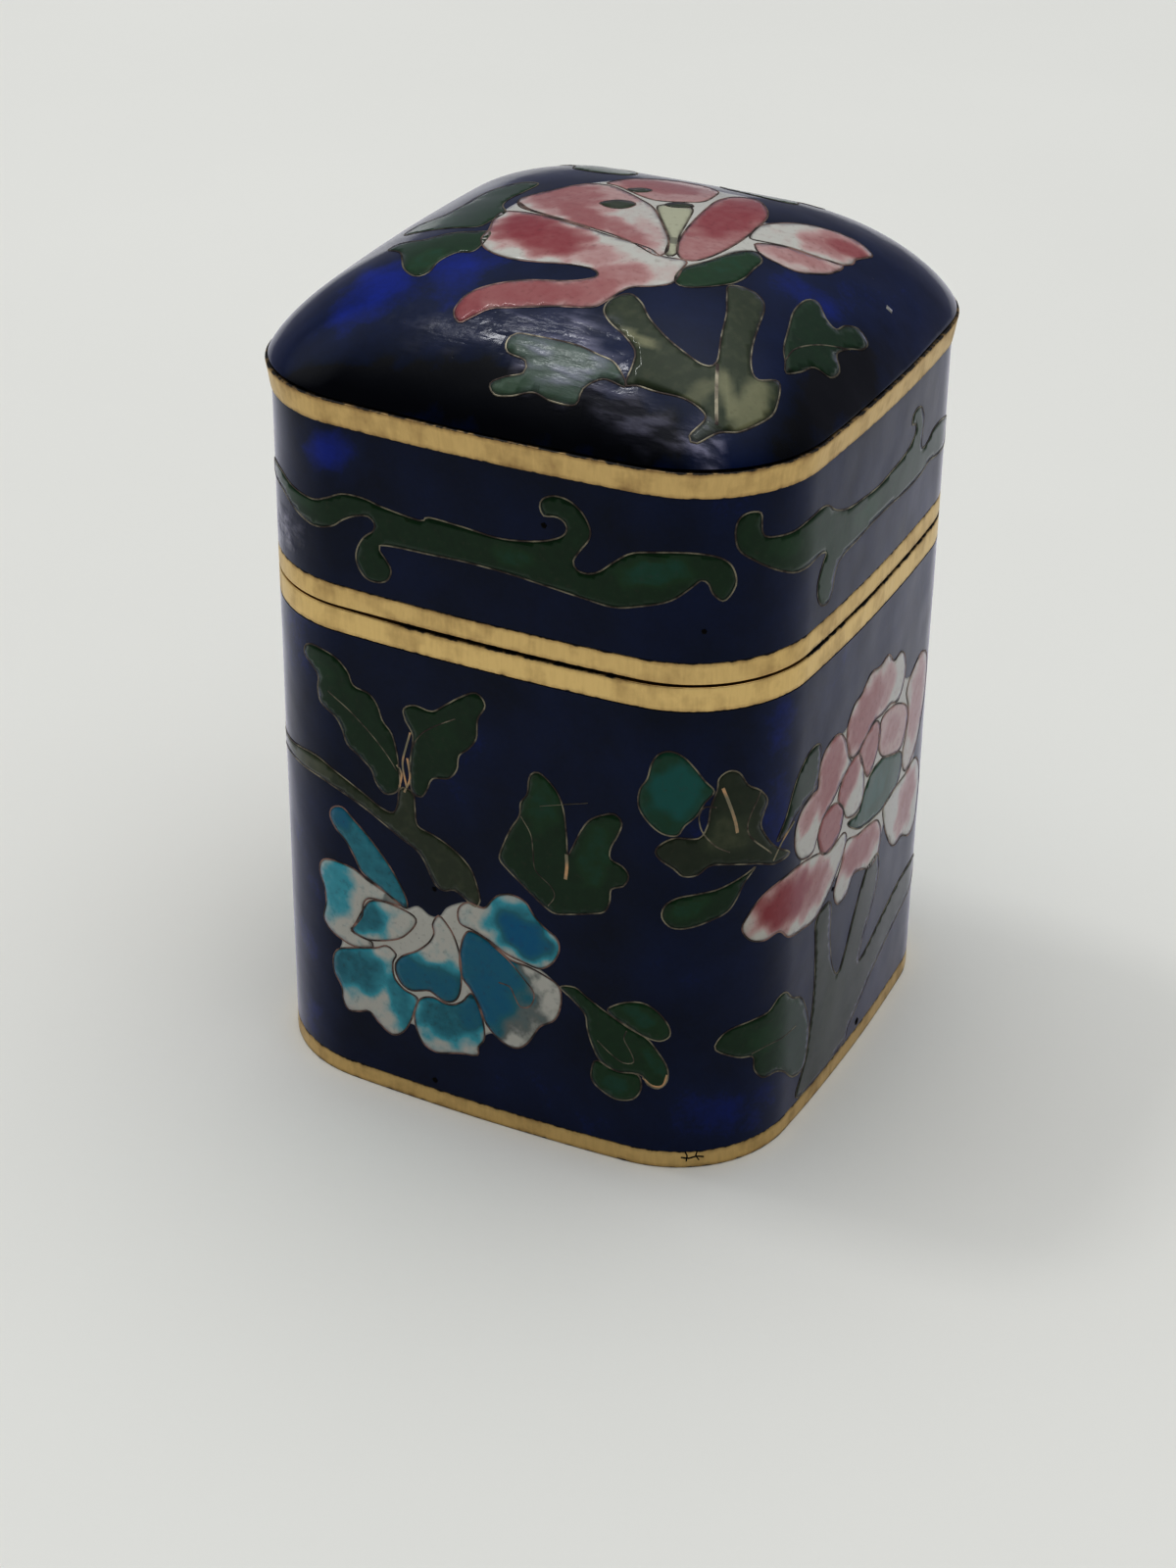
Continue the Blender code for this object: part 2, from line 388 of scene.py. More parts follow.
class Finish(Nodes):
    """A material being made: its shader and the nodes that feed it."""

    def __init__(self, name):
        self.material = bpy.data.materials.new(name)
        self.material.use_nodes = True
        super().__init__(self.material.node_tree)
        self.shader = self.tree.nodes["Principled BSDF"]

    def noise(self, size, detail=2.0, stretch=(1.0, 1.0, 1.0)):
        """Cloudy values from 0 to 1 whose features have the given size in metres."""
        inputs = {"Vector": self.coordinates["Object"], "Scale": stretch}
        scaled = self.node("ShaderNodeMapping", inputs)
        return self.node("ShaderNodeTexNoise", {"Vector": scaled, "Scale": 1 / size, "Detail": detail})

    def spots(self, spacing, radius):
        """1 in the middle of scattered round spots, 0 outside them."""
        inputs = {"Vector": self.coordinates["Object"], "Scale": 1 / spacing}
        away = self.node("ShaderNodeTexVoronoi", inputs)
        return self.levels(away, 0.0, radius / spacing, 1.0, 0.0)

    def attribute(self, name):
        return self.node("ShaderNodeAttribute", {}, output="Fac", attribute_name=name)

    def ramp(self, value, stops):
        """Colours along a value: stops are (place, colour)."""
        node = self.tree.nodes.new("ShaderNodeValToRGB")
        self.tree.links.new(value, node.inputs[0])
        band = node.color_ramp
        while len(band.elements) < len(stops):
            band.elements.new(0.5)
        for element, (place, colour) in zip(band.elements, stops):
            element.position = place
            element.color = wide(colour)
        return node.outputs[0]

    def bump(self, height, depth, normal=None):
        inputs = {"Height": height, "Distance": depth, "Normal": normal}
        return self.node("ShaderNodeBump", inputs)

    def link(self, **sockets):
        for name, value in sockets.items():
            self.tree.links.new(value, self.shader.inputs[name.replace("_", " ")])

    def set(self, **sockets):
        for name, value in sockets.items():
            self.shader.inputs[name.replace("_", " ")].default_value = value


PIT_COLOUR = (0.012, 0.010, 0.010)
# Painted shade: the near black drawn where the dome shows dark reflections.
SHADE_COLOUR = (0.003, 0.004, 0.007)
# Whitish lavender of scuffed enamel: partly real scratches, partly painted sheen for a soft reflection on
# the dome.
SCUFF_AND_PAINTED_SHEEN_COLOUR = (0.36, 0.35, 0.46)


def glaze(finish, colour):
    """Colours the shader and gives it the polished, wavy and pitted surface of fired enamel.

    Where a piece's scuff attribute is set the surface is rough and glints, and its colour is lightened
    towards whitish lavender: partly real scratches, partly painted sheen for a soft reflection.
    """
    swell = finish.noise(4.5 * MM, detail=1.0)
    ripple = finish.noise(0.9 * MM, detail=2.0)
    haze = finish.noise(0.5 * MM, detail=3.0, stretch=(1.0, 1.0, 0.3))
    flakes = finish.noise(0.8 * MM, detail=4.0, stretch=(0.3, 1.0, 1.0))
    pits = finish.spots(2.8 * MM, 0.085 * MM)
    scuff_and_painted_sheen = finish.attribute("scuff_and_painted_sheen")
    # Real scratches and painted sheen: the scuffed places lightened towards lavender.
    scratches_and_painted_sheen = finish.maths("MULTIPLY", scuff_and_painted_sheen, finish.levels(flakes, 0.46, 0.66, 0.12, 0.60))
    colour = finish.mix(finish.levels(pits, 0.2, 0.8, 0.0, 0.8), colour, PIT_COLOUR)
    colour = finish.mix(scratches_and_painted_sheen, colour, SCUFF_AND_PAINTED_SHEEN_COLOUR)
    normal = finish.bump(swell, 0.10 * MM)
    normal = finish.bump(ripple, 0.006 * MM, normal)
    normal = finish.bump(finish.levels(pits, 0.0, 1.0, 0.0, -1.0), 0.02 * MM, normal)
    normal = finish.bump(finish.maths("MULTIPLY", flakes, scuff_and_painted_sheen), 0.20 * MM, normal)
    roughness = finish.maths("ADD", finish.levels(haze, 0.3, 0.7, 0.07, 0.14),
                             finish.maths("MULTIPLY", scuff_and_painted_sheen, 0.12))
    finish.link(Base_Color=colour, Normal=normal, Roughness=roughness)
    finish.set(IOR=1.32, Sheen_Weight=0.46, Sheen_Roughness=0.35, Sheen_Tint=(0.78, 0.76, 1.0, 1.0))


def cobalt_finish():
    """Ground enamel: near black where thick, cobalt between, brighter where painted glow stands for light
    coming back through it, and darkest where painted shade is drawn.
    """
    finish = Finish("cobalt_enamel")
    clouds = finish.noise(7 * MM, detail=3.0)
    grain = finish.noise(0.35 * MM, detail=2.0)
    # Each place's painted glow lightens the ground and its painted shade darkens it.
    depth = finish.maths("ADD", finish.levels(clouds, 0.35, 0.70, 0.05, 0.50), finish.attribute("painted_light_and_shade"))
    depth = finish.maths("ADD", depth, finish.levels(grain, 0.3, 0.7, -0.04, 0.04))
    depth = finish.levels(depth, -0.15, 1.0, 0.0, 1.0)
    stops = [(0.0, SHADE_COLOUR), (0.13, colours().cobalt_dark), (0.56, colours().cobalt),
             (1.0, colours().cobalt_painted_glow)]
    glaze(finish, finish.ramp(depth, stops))


def wash_finish(name, *stops):
    """Enamel whose colour follows the cell's wash through (place, colour) stops."""
    finish = Finish(name)
    blur = finish.noise(0.8 * MM, detail=4.0)
    wash = finish.maths("ADD", finish.attribute("wash"), finish.levels(blur, 0.25, 0.75, -0.07, 0.07))
    colour = finish.ramp(wash, stops)
    specks = finish.levels(finish.noise(0.4 * MM, detail=4.0), 0.58, 0.76, 0.0, 0.25)
    colour = finish.mix(specks, colour, (0.07, 0.05, 0.04))
    # The colour darkens over the last 0.18 mm towards each cell's edge, half way to near black at the
    # edge.
    edge_darkening = finish.levels(finish.attribute("edge"), 0.02, 0.18, 0.5, 0.0)
    glaze(finish, finish.mix(edge_darkening, colour, PIT_COLOUR))


def gilt_finish():
    """Worn gilding: fine upright scratches, brown patina, and enamel run over its edges."""
    finish = Finish("scratched_gilt")
    scratches = finish.noise(0.28 * MM, detail=4.0, stretch=(1.0, 1.0, 0.15))
    clouds = finish.noise(2.2 * MM, detail=6.0)
    ragged = finish.noise(0.7 * MM, detail=5.0)
    edge = finish.maths("SUBTRACT", finish.attribute("edge"), finish.levels(ragged, 0.40, 0.70, 0.0, 0.15))
    overrun = finish.levels(edge, -0.05, 0.04, 1.0, 0.0)
    worn = finish.maths("ADD", finish.levels(edge, 0.0, 0.30, 0.45, 0.0),
                        finish.levels(clouds, 0.48, 0.70, 0.0, 0.45))
    worn = finish.maths("ADD", worn, finish.levels(scratches, 0.38, 0.65, -0.04, 0.08))
    worn = finish.maths("ADD", worn, finish.attribute("wear"))
    colour = finish.mix(worn, colours().gilt, colours().gilt_dull)
    relief = finish.bump(scratches, 0.0015 * MM, finish.bump(clouds, 0.08 * MM))
    finish.link(
        Base_Color=finish.mix(overrun, colour, PIT_COLOUR),
        Metallic=finish.levels(overrun, 0.0, 1.0, 1.0, 0.1),
        Roughness=finish.levels(worn, 0.0, 1.0, 0.30, 0.50),
        Normal=relief,
    )


def wire_finish(name, bright, tarnished, metallic):
    """Wire of one colour where it is worn and another where it is tarnished."""
    finish = Finish(name)
    tarnish = finish.noise(1.3 * MM, detail=4.0)
    colour = finish.mix(finish.levels(tarnish, 0.38, 0.58), bright, tarnished)
    finish.link(Base_Color=colour, Roughness=finish.levels(tarnish, 0.3, 0.7, 0.34, 0.5),
                Normal=finish.bump(tarnish, 0.02 * MM))
    finish.set(Metallic=metallic)


def pinhole_finish():
    """Dark inside of a burst bubble or crack."""
    finish = Finish("pinhole_black")
    crust = finish.noise(0.2 * MM, detail=2.0)
    colour = finish.mix(crust, (0.002, 0.002, 0.002), (0.02, 0.017, 0.015))
    finish.link(Base_Color=colour, Normal=finish.bump(crust, 0.05 * MM))
    finish.set(Roughness=0.8, Specular_IOR_Level=0.1)


def floor_finish():
    """Matt pale surface with faint clouding."""
    finish = Finish("pale_floor")
    clouds = finish.levels(finish.noise(0.10, detail=4.0), 0.3, 0.7, 0.0, 0.35)
    grain = finish.noise(1.2 * MM, detail=3.0)
    colour = finish.mix(clouds, colours().floor, tuple(0.93 * part for part in colours().floor))
    finish.link(Base_Color=colour, Normal=finish.bump(grain, 0.02 * MM))
    finish.set(Roughness=0.75, Specular_IOR_Level=0.2)


def smooth_curve(points, closed, step):
    """Points along a smooth curve through the given ones, about one step apart."""
    points = np.asarray(points, float)
    if closed:
        around = np.concatenate([points[-1:], points, points[:2]])
    else:
        first = 2 * points[0] - points[1]
        last = 2 * points[-1] - points[-2]
        around = np.concatenate([[first], points, [last]])
    curve = []
    for before, start, end, after in zip(around, around[1:], around[2:], around[3:]):
        length = np.linalg.norm(end - start)
        for share in np.arange(0, 1, 1 / max(1, round(length / step))):
            pull = (2 * start + share * (end - before)
                    + share**2 * (2 * before - 5 * start + 4 * end - after)
                    + share**3 * (3 * start - before - 3 * end + after))
            curve.append(pull / 2)
    if not closed:
        curve.append(points[-1])
    return np.array(curve)


def inside(points, loop):
    """Which points lie inside a closed loop."""
    x, y = points[:, 0:1], points[:, 1:2]
    start, end = loop, np.roll(loop, -1, axis=0)
    rises = (start[:, 1] > y) != (end[:, 1] > y)
    run = np.where(rises, end[:, 1] - start[:, 1], 1.0)
    crossing = start[:, 0] + (y - start[:, 1]) / run * (end[:, 0] - start[:, 0])
    return np.sum(rises & (x < crossing), axis=1) % 2 == 1


def distance_to(points, loop):
    """Distance from each point to the nearest side of a closed loop."""
    start, end = loop, np.roll(loop, -1, axis=0)
    run = end - start
    length = np.maximum(np.sum(run**2, axis=1), 1e-12)
    offset = points[:, None] - start
    share = np.clip(np.sum(offset * run, axis=2) / length, 0, 1)
    return np.min(np.linalg.norm(offset - share[..., None] * run, axis=2), axis=1)


BLOT_SOFTNESS = 0.9  # width of a blot's soft edge as a share of its radius
# Soft edge of the blots of painted glow and painted shade.
PAINTED_LIGHT_SOFTNESS = 1.5


def blot_strength(points, blots, softness=BLOT_SOFTNESS):
    """How strongly each point is washed by blots, which are uneven ellipses."""
    strength = np.zeros(len(points))
    uneven = 1 + 0.10 * np.sin(2.3 * points[:, 0] + 1.7 * points[:, 1])
    uneven += 0.09 * np.sin(3.1 * points[:, 1] - 2.2 * points[:, 0] + 1.0)
    for x, y, long_radius, short_radius, turn, amount in blots:
        angle = math.radians(turn)
        dx, dy = points[:, 0] - x, points[:, 1] - y
        along = (dx * math.cos(angle) + dy * math.sin(angle)) / long_radius
        across = (dy * math.cos(angle) - dx * math.sin(angle)) / short_radius
        reach = np.hypot(along, across) * uneven
        falloff = np.clip((1 + softness / 2 - reach) / softness, 0, 1)
        strength = np.maximum(strength, amount * falloff**2 * (3 - 2 * falloff))
    return strength


CURVE_STEP = 0.3  # millimetres between points on a wire
FILL_STEP = 0.42  # millimetres between points inside a cell
GROUND_RISE = 0.008 * MM  # height of the white that lies under a flower's petals
HEART_RISE = 0.028 * MM  # height of the small green cells on top of the petals


def filled(loop):
    """Points and triangles that fill a loop."""
    low, high = loop.min(axis=0), loop.max(axis=0)
    columns = np.arange(low[0], high[0], FILL_STEP)
    rows = np.arange(low[1], high[1], FILL_STEP * 0.87)
    grid = np.array([
        (x + (number % 2) * FILL_STEP / 2, y) for number, y in enumerate(rows) for x in columns
    ])
    grid = grid[inside(grid, loop)]
    if len(grid):
        grid = grid[distance_to(grid, loop) > 0.55 * FILL_STEP]
    corners = [Vector(point) for point in np.concatenate([loop, grid])]
    result = delaunay_2d_cdt(corners, [], [list(range(len(loop)))], 1, 1e-6)
    return np.array([tuple(corner) for corner in result[0]]), result[2]


def lay_cells(name, surface, cells, finish, lift=None, scuffs_and_painted_sheen=()):
    """Thin inlays of coloured enamel, joined into one piece."""
    corners, faces, wash, edge, worn = [], [], [], [], []
    first = 0
    for base, blots, points in cells:
        loop = smooth_curve(points, True, CURVE_STEP)
        flat, triangles = filled(loop)
        lifted, _ = surface(flat[:, 0] * MM, flat[:, 1] * MM, lift or sizes().cell_rise)
        corners.append(lifted)
        faces.extend([first + corner for corner in triangle] for triangle in triangles)
        wash.append(np.maximum(blot_strength(flat, blots), base))
        edge.append(distance_to(flat, loop))
        # Scuffed places; on the dome they also carry painted sheen.
        worn.append(blot_strength(flat, scuffs_and_painted_sheen))
        first += len(flat)
    piece = joined(name, corners, faces, SMOOTH_ANGLE)
    add_values(piece, "wash", np.concatenate(wash))
    add_values(piece, "edge", np.concatenate(edge))
    add_values(piece, "scuff_and_painted_sheen", np.concatenate(worn))
    inlay = piece.modifiers.new("inlay", "SOLIDIFY")
    inlay.thickness = CELL_THICKNESS
    inlay.offset = -1.0
    bpy.ops.object.modifier_apply(modifier="inlay")
    finish_piece(piece, finish, "blue_enamel")


def joined(name, corners, faces, sharp_angle):
    """A new piece from lists of points and faces, with its faces turned outwards."""
    mesh = bpy.data.meshes.new(name)
    mesh.from_pydata(np.concatenate(corners).tolist(), [], faces)
    piece = bpy.data.objects.new(name, mesh)
    bpy.context.scene.collection.objects.link(piece)
    deselect_all()
    piece.select_set(True)
    bpy.context.view_layer.objects.active = piece
    bpy.ops.object.mode_set(mode="EDIT")
    bpy.ops.mesh.select_all(action="SELECT")
    bpy.ops.mesh.normals_make_consistent(inside=False)
    bpy.ops.object.mode_set(mode="OBJECT")
    bpy.ops.object.shade_smooth_by_angle(angle=math.radians(sharp_angle))
    return piece


def lay_wires(name, surface, loops, paths, finish):
    """Flattened wires along closed loops and open paths, joined into one piece."""
    half = sizes().wire_width / 2
    rise = sizes().wire_rise
    shoulder, root = 0.6 * rise, -2 * rise
    section = [(-half, root), (-half, shoulder), (0, rise), (half, shoulder), (half, root)]
    corners, faces = [], []
    first = 0
    routes = [(points, True, 1.0) for points in loops]
    routes += [(points, False, width) for width, points in paths]
    for points, closed, width in routes:
        flat = smooth_curve(points, closed, CURVE_STEP)
        middle, outwards = surface(flat[:, 0] * MM, flat[:, 1] * MM)
        if closed:
            along = np.roll(middle, -1, axis=0) - np.roll(middle, 1, axis=0)
        else:
            along = np.gradient(middle, axis=0)
        beside = np.cross(outwards, along)
        beside /= np.maximum(np.linalg.norm(beside, axis=1, keepdims=True), 1e-12)
        rings = [middle + across * width * beside + up * outwards for across, up in section]
        corners.append(np.stack(rings, axis=1).reshape(-1, 3))
        sides = len(section)
        count = len(flat)
        for ring in range(count if closed else count - 1):
            here, there = first + ring * sides, first + (ring + 1) % count * sides
            for side in range(sides):
                other = (side + 1) % sides
                faces.append((here + side, there + side, there + other, here + other))
        if not closed:
            faces.append([first + side for side in range(sides)])
            faces.append([first + (count - 1) * sides + side for side in reversed(range(sides))])
        first += count * sides
    piece = joined(name, corners, faces, WIRE_SMOOTH_ANGLE)
    finish_piece(piece, finish, "worn_gilt")


# The grounds are the white that shows between a flower's petals.
FRONT_FLOWER_GROUND = [
    (0.0, [], [(-14.2, 17.6), (-13.9, 18.5), (-12.9, 19.0), (-11.0, 18.9), (-8.7, 18.0), (-7.2, 17.2),
               (-6.4, 17.0), (-5.4, 17.5), (-4.4, 17.0), (-3.6, 17.2), (-3.0, 18.1), (-2.0, 18.8),
               (-1.2, 19.1), (0.1, 19.0), (1.0, 18.0), (2.0, 16.0), (4.6, 15.1), (6.1, 14.0),
               (6.3, 12.6), (5.8, 11.0), (4.6, 10.0), (3.7, 8.5), (2.9, 7.7), (2.0, 7.6),
               (0.9, 8.2), (0.0, 7.6), (-0.5, 6.6), (-1.0, 6.0), (-2.9, 5.4), (-4.0, 5.0),
               (-5.0, 5.3), (-5.7, 6.6), (-6.6, 6.6), (-7.9, 5.3), (-9.0, 5.9), (-9.9, 6.7),
               (-10.8, 6.4), (-11.8, 6.2), (-12.2, 7.0), (-12.3, 8.1), (-13.0, 9.3), (-13.1, 10.5),
               (-12.4, 11.6), (-12.3, 12.4), (-13.4, 13.0), (-13.9, 13.7), (-13.6, 15.0),
               (-13.7, 16.3)]),
]

FRONT_FLOWER = [
    (0.56, [(-12.2, 23.3, 1.8, 1.2, -40, 0.80)],
     [(-13.0, 22.9), (-12.7, 23.7), (-11.8, 24.0), (-10.8, 23.2), (-9.5, 22.1), (-8.1, 20.6),
      (-7.1, 19.2), (-6.4, 17.8), (-6.4, 17.0), (-7.1, 17.2), (-8.7, 18.1), (-10.2, 18.9),
      (-10.9, 20.1), (-11.6, 21.2), (-12.5, 22.0)]),
    (0.05, [(-12.7, 16.7, 2.9, 1.6, 80, 0.36)],
     [(-14.3, 17.6), (-14.0, 18.6), (-12.9, 19.1), (-11.0, 19.0), (-9.8, 18.4), (-8.4, 17.9),
      (-6.9, 17.1), (-8.4, 17.0), (-9.7, 16.8), (-10.2, 16.1), (-10.3, 15.1), (-10.9, 14.1),
      (-11.3, 13.4), (-9.5, 13.0), (-9.4, 12.6), (-11.0, 12.1), (-12.4, 12.4), (-13.5, 12.9),
      (-14.0, 13.7), (-13.7, 15.0), (-13.8, 16.3)]),
    (0.05, [(-10.0, 15.2, 2.0, 1.7, 20, 0.58)],
     [(-11.2, 13.5), (-10.8, 14.5), (-10.1, 15.9), (-9.6, 16.6), (-8.4, 16.95), (-6.8, 16.8),
      (-5.8, 16.5), (-5.6, 16.0), (-6.1, 15.1), (-7.1, 14.1), (-8.7, 13.4), (-10.1, 13.1)]),
    (0.05, [(-4.7, 10.9, 3.8, 1.7, 0, 0.74), (-6.2, 11.6, 1.9, 1.5, 0, 0.76),
            (-3.1, 11.3, 1.8, 1.7, 0, 0.72)],
     [(-4.2, 16.3), (-4.1, 15.5), (-4.6, 14.5), (-5.6, 13.5), (-6.9, 12.6), (-7.5, 11.6),
      (-7.3, 10.6), (-6.8, 10.0), (-6.1, 9.8), (-5.2, 10.1), (-4.5, 10.3), (-3.9, 10.0),
      (-3.1, 9.75), (-2.3, 10.2), (-1.9, 11.2), (-1.8, 12.7), (-1.9, 14.2), (-2.4, 15.8),
      (-3.1, 16.8), (-3.7, 17.2)]),
    (0.05, [(-11.1, 10.2, 2.9, 2.1, 0, 0.60), (-6.9, 8.4, 3.2, 1.3, -72, 0.48)],
     [(-9.2, 12.6), (-11.0, 12.0), (-12.5, 11.4), (-13.1, 10.5), (-13.1, 9.2), (-12.4, 8.0),
      (-12.3, 6.9), (-11.8, 6.1), (-10.8, 6.3), (-9.9, 6.6), (-9.0, 5.8), (-7.9, 5.2),
      (-6.9, 5.8), (-6.2, 7.1), (-5.8, 8.4), (-5.6, 9.3), (-6.8, 9.7), (-7.6, 10.5),
      (-7.7, 11.8), (-7.4, 12.6), (-8.2, 13.1)]),
    (0.08, [(-3.0, 8.5, 3.0, 2.2, 15, 0.60), (-0.9, 9.4, 2.1, 1.5, 60, 0.74)],
     [(-5.6, 8.9), (-5.9, 7.6), (-5.6, 6.1), (-5.0, 5.2), (-4.0, 4.9), (-2.9, 5.2), (-1.9, 5.5),
      (-0.5, 5.8), (-0.4, 6.6), (0.1, 7.5), (0.0, 9.0), (-0.4, 10.3), (-1.0, 11.2),
      (-1.8, 10.2), (-2.9, 9.6), (-4.2, 9.8), (-5.1, 9.5)]),
    (0.05, [(3.2, 17.6, 2.5, 1.7, -28, 0.96), (2.6, 18.5, 2.3, 1.8, 0, 0.55),
            (5.0, 17.0, 1.2, 1.1, 0, 0.60)],
     [(-1.9, 17.1), (-2.0, 18.3), (-1.2, 19.1), (0.1, 19.0), (0.8, 19.9), (1.4, 20.5),
      (2.4, 20.8), (3.5, 20.5), (4.2, 19.5), (5.1, 18.7), (6.0, 18.1), (6.2, 17.1),
      (5.6, 15.8), (4.6, 15.1), (3.2, 15.3), (1.9, 15.6), (0.6, 16.3), (-0.7, 16.8)]),
]

SMOKY_PETAL = [
    (0.04, [(0.1, 14.1, 4.2, 2.7, -40, 0.76), (0.4, 11.2, 3.3, 2.3, 70, 0.80),
            (1.6, 12.2, 4.2, 3.0, -45, 0.26)],
     [(-1.2, 16.6), (0.6, 16.2), (2.2, 15.2), (3.7, 15.0), (5.1, 14.6), (6.2, 14.0),
      (6.4, 12.6), (5.9, 11.0), (4.7, 10.0), (3.8, 8.4), (3.0, 7.6), (2.1, 7.5), (1.0, 8.1),
      (0.2, 9.0), (-0.3, 10.3), (-1.0, 11.5), (-1.8, 12.6), (-1.9, 14.6)]),
]

FRONT_FLOWER_LINES = [
    (0.9, [(0.6, 16.1), (2.2, 15.0), (3.3, 13.9), (4.2, 12.8), (3.9, 11.6), (3.1, 11.3), (2.6, 12.1),
           (2.2, 12.8), (1.3, 12.9)]),
]

FRONT_LEAVES = [
    (0.30, [(-13.5, 35.0, 2.2, 1.2, -30, 0.42)],
     [(-15.2, 35.6), (-14.9, 36.4), (-13.9, 36.7), (-12.1, 36.4), (-11.0, 35.5), (-10.5, 34.5),
      (-9.2, 34.2), (-8.5, 33.4), (-8.1, 32.3), (-7.4, 31.5), (-7.0, 30.2), (-6.8, 28.6),
      (-6.8, 27.3), (-7.2, 26.6), (-8.1, 26.3), (-8.8, 27.0), (-9.2, 28.0), (-10.2, 28.8),
      (-11.2, 29.5), (-11.6, 30.6), (-12.2, 31.5), (-13.5, 32.2), (-13.8, 33.3), (-13.7, 34.3),
      (-14.4, 35.0)]),
    (0.28, [(-3.0, 32.5, 2.0, 1.2, 50, 0.38)],
     [(-0.4, 36.6), (0.3, 35.8), (-0.3, 34.5), (-0.4, 33.0), (-1.0, 32.0), (-1.8, 31.2),
      (-2.0, 30.0), (-2.7, 29.1), (-4.0, 28.7), (-4.5, 27.6), (-5.0, 26.9), (-5.7, 27.1),
      (-5.9, 28.4), (-5.8, 30.0), (-5.6, 31.8), (-6.2, 32.9), (-6.3, 33.8), (-5.4, 34.3),
      (-4.0, 34.2), (-2.9, 35.0), (-1.6, 36.0)]),
    (0.30, [(4.9, 29.2, 2.8, 1.5, 80, 0.55), (9.0, 26.0, 3.6, 1.5, 75, 0.55)],
     [(1.4, 23.6), (1.7, 24.8), (2.3, 26.3), (3.0, 27.6), (3.1, 28.7), (3.6, 29.5), (3.7, 30.5),
      (3.9, 31.2), (4.5, 31.5), (5.4, 30.9), (6.1, 30.0), (6.5, 28.7), (6.7, 26.9), (6.8, 25.4),
      (7.1, 25.9), (7.8, 27.6), (8.5, 28.7), (9.6, 29.4), (10.4, 29.6), (10.9, 29.0),
      (10.6, 27.9), (10.1, 26.8), (10.1, 25.9), (11.0, 25.5), (11.5, 24.8), (11.1, 23.9),
      (10.2, 23.4), (10.1, 22.4), (9.7, 21.4), (8.5, 20.9), (7.2, 20.5), (5.9, 20.2),
      (5.1, 20.5), (4.0, 21.3), (3.0, 22.1), (2.0, 22.9)]),
    (0.45, [(12.5, 13.2, 1.8, 0.9, -30, 0.60)],
     [(10.1, 13.2), (11.4, 14.1), (12.8, 14.4), (13.9, 13.8), (14.7, 12.7), (14.8, 11.8),
      (14.1, 11.3), (13.0, 11.5), (11.7, 12.1), (10.4, 12.7)]),
    (0.40, [(13.8, 9.2, 1.8, 0.8, -50, 0.60)],
     [(6.3, 14.0), (7.5, 14.3), (8.5, 13.7), (10.1, 12.8), (11.7, 12.0), (13.1, 11.4),
      (14.0, 10.3), (14.7, 9.0), (14.7, 7.8), (14.1, 7.1), (13.3, 7.3), (12.9, 8.0),
      (12.2, 8.1), (10.9, 7.9), (9.6, 8.4), (8.9, 9.7), (8.5, 11.0), (8.3, 12.2), (7.3, 13.2)]),
    (0.48, [(10.8, 6.8, 1.5, 1.0, 0, 0.64)],
     [(9.3, 8.4), (8.9, 7.6), (8.9, 6.6), (9.6, 5.9), (10.9, 5.4), (12.2, 5.8), (12.8, 6.8),
      (12.7, 7.8), (12.2, 8.1), (10.9, 7.9)]),
]

FRONT_LEAF_LINES = [
    (0.8, [(-12.8, 33.4), (-11.0, 32.4), (-9.2, 31.0), (-7.9, 29.7), (-7.0, 28.5)]),
    (0.8, [(-2.1, 34.1), (-3.7, 33.1), (-4.9, 32.1), (-5.6, 30.9), (-5.9, 29.5)]),
    (0.7, [(3.1, 27.6), (3.9, 26.3), (4.1, 24.8), (4.3, 23.4), (5.5, 22.4), (5.8, 21.6), (5.3, 20.7)]),
    (0.5, [(4.6, 28.8), (6.7, 29.5), (8.3, 30.0)]),
    (0.8, [(9.3, 10.2), (10.4, 9.3), (11.4, 8.8), (12.2, 9.1), (11.9, 10.0), (11.4, 10.9),
           (11.6, 11.7)]),
]

FRONT_STEMS = [
    (0.50, [(-15.0, 26.6, 3.4, 1.0, -5, 0.60)],
     [(-21.5, 26.3), (-19.5, 26.8), (-17.4, 27.1), (-15.0, 27.5), (-13.7, 27.4), (-12.1, 26.8),
      (-10.0, 25.8), (-8.4, 25.0), (-7.4, 24.9), (-7.0, 25.7), (-6.8, 27.0), (-6.2, 27.3),
      (-5.6, 26.9), (-5.5, 25.6), (-5.3, 24.4), (-4.0, 24.0), (-2.4, 23.3), (-1.0, 22.1),
      (-0.4, 20.6), (-0.2, 19.5), (-0.6, 18.9), (-1.4, 19.3), (-2.3, 19.8), (-3.2, 19.5),
      (-3.9, 19.8), (-4.4, 20.7), (-4.9, 21.7), (-5.6, 22.4), (-6.9, 23.0), (-8.4, 23.8),
      (-10.0, 24.6), (-12.1, 25.4), (-13.7, 25.8), (-15.0, 25.9), (-17.4, 25.9), (-19.5, 25.7),
      (-21.5, 25.3)]),
]

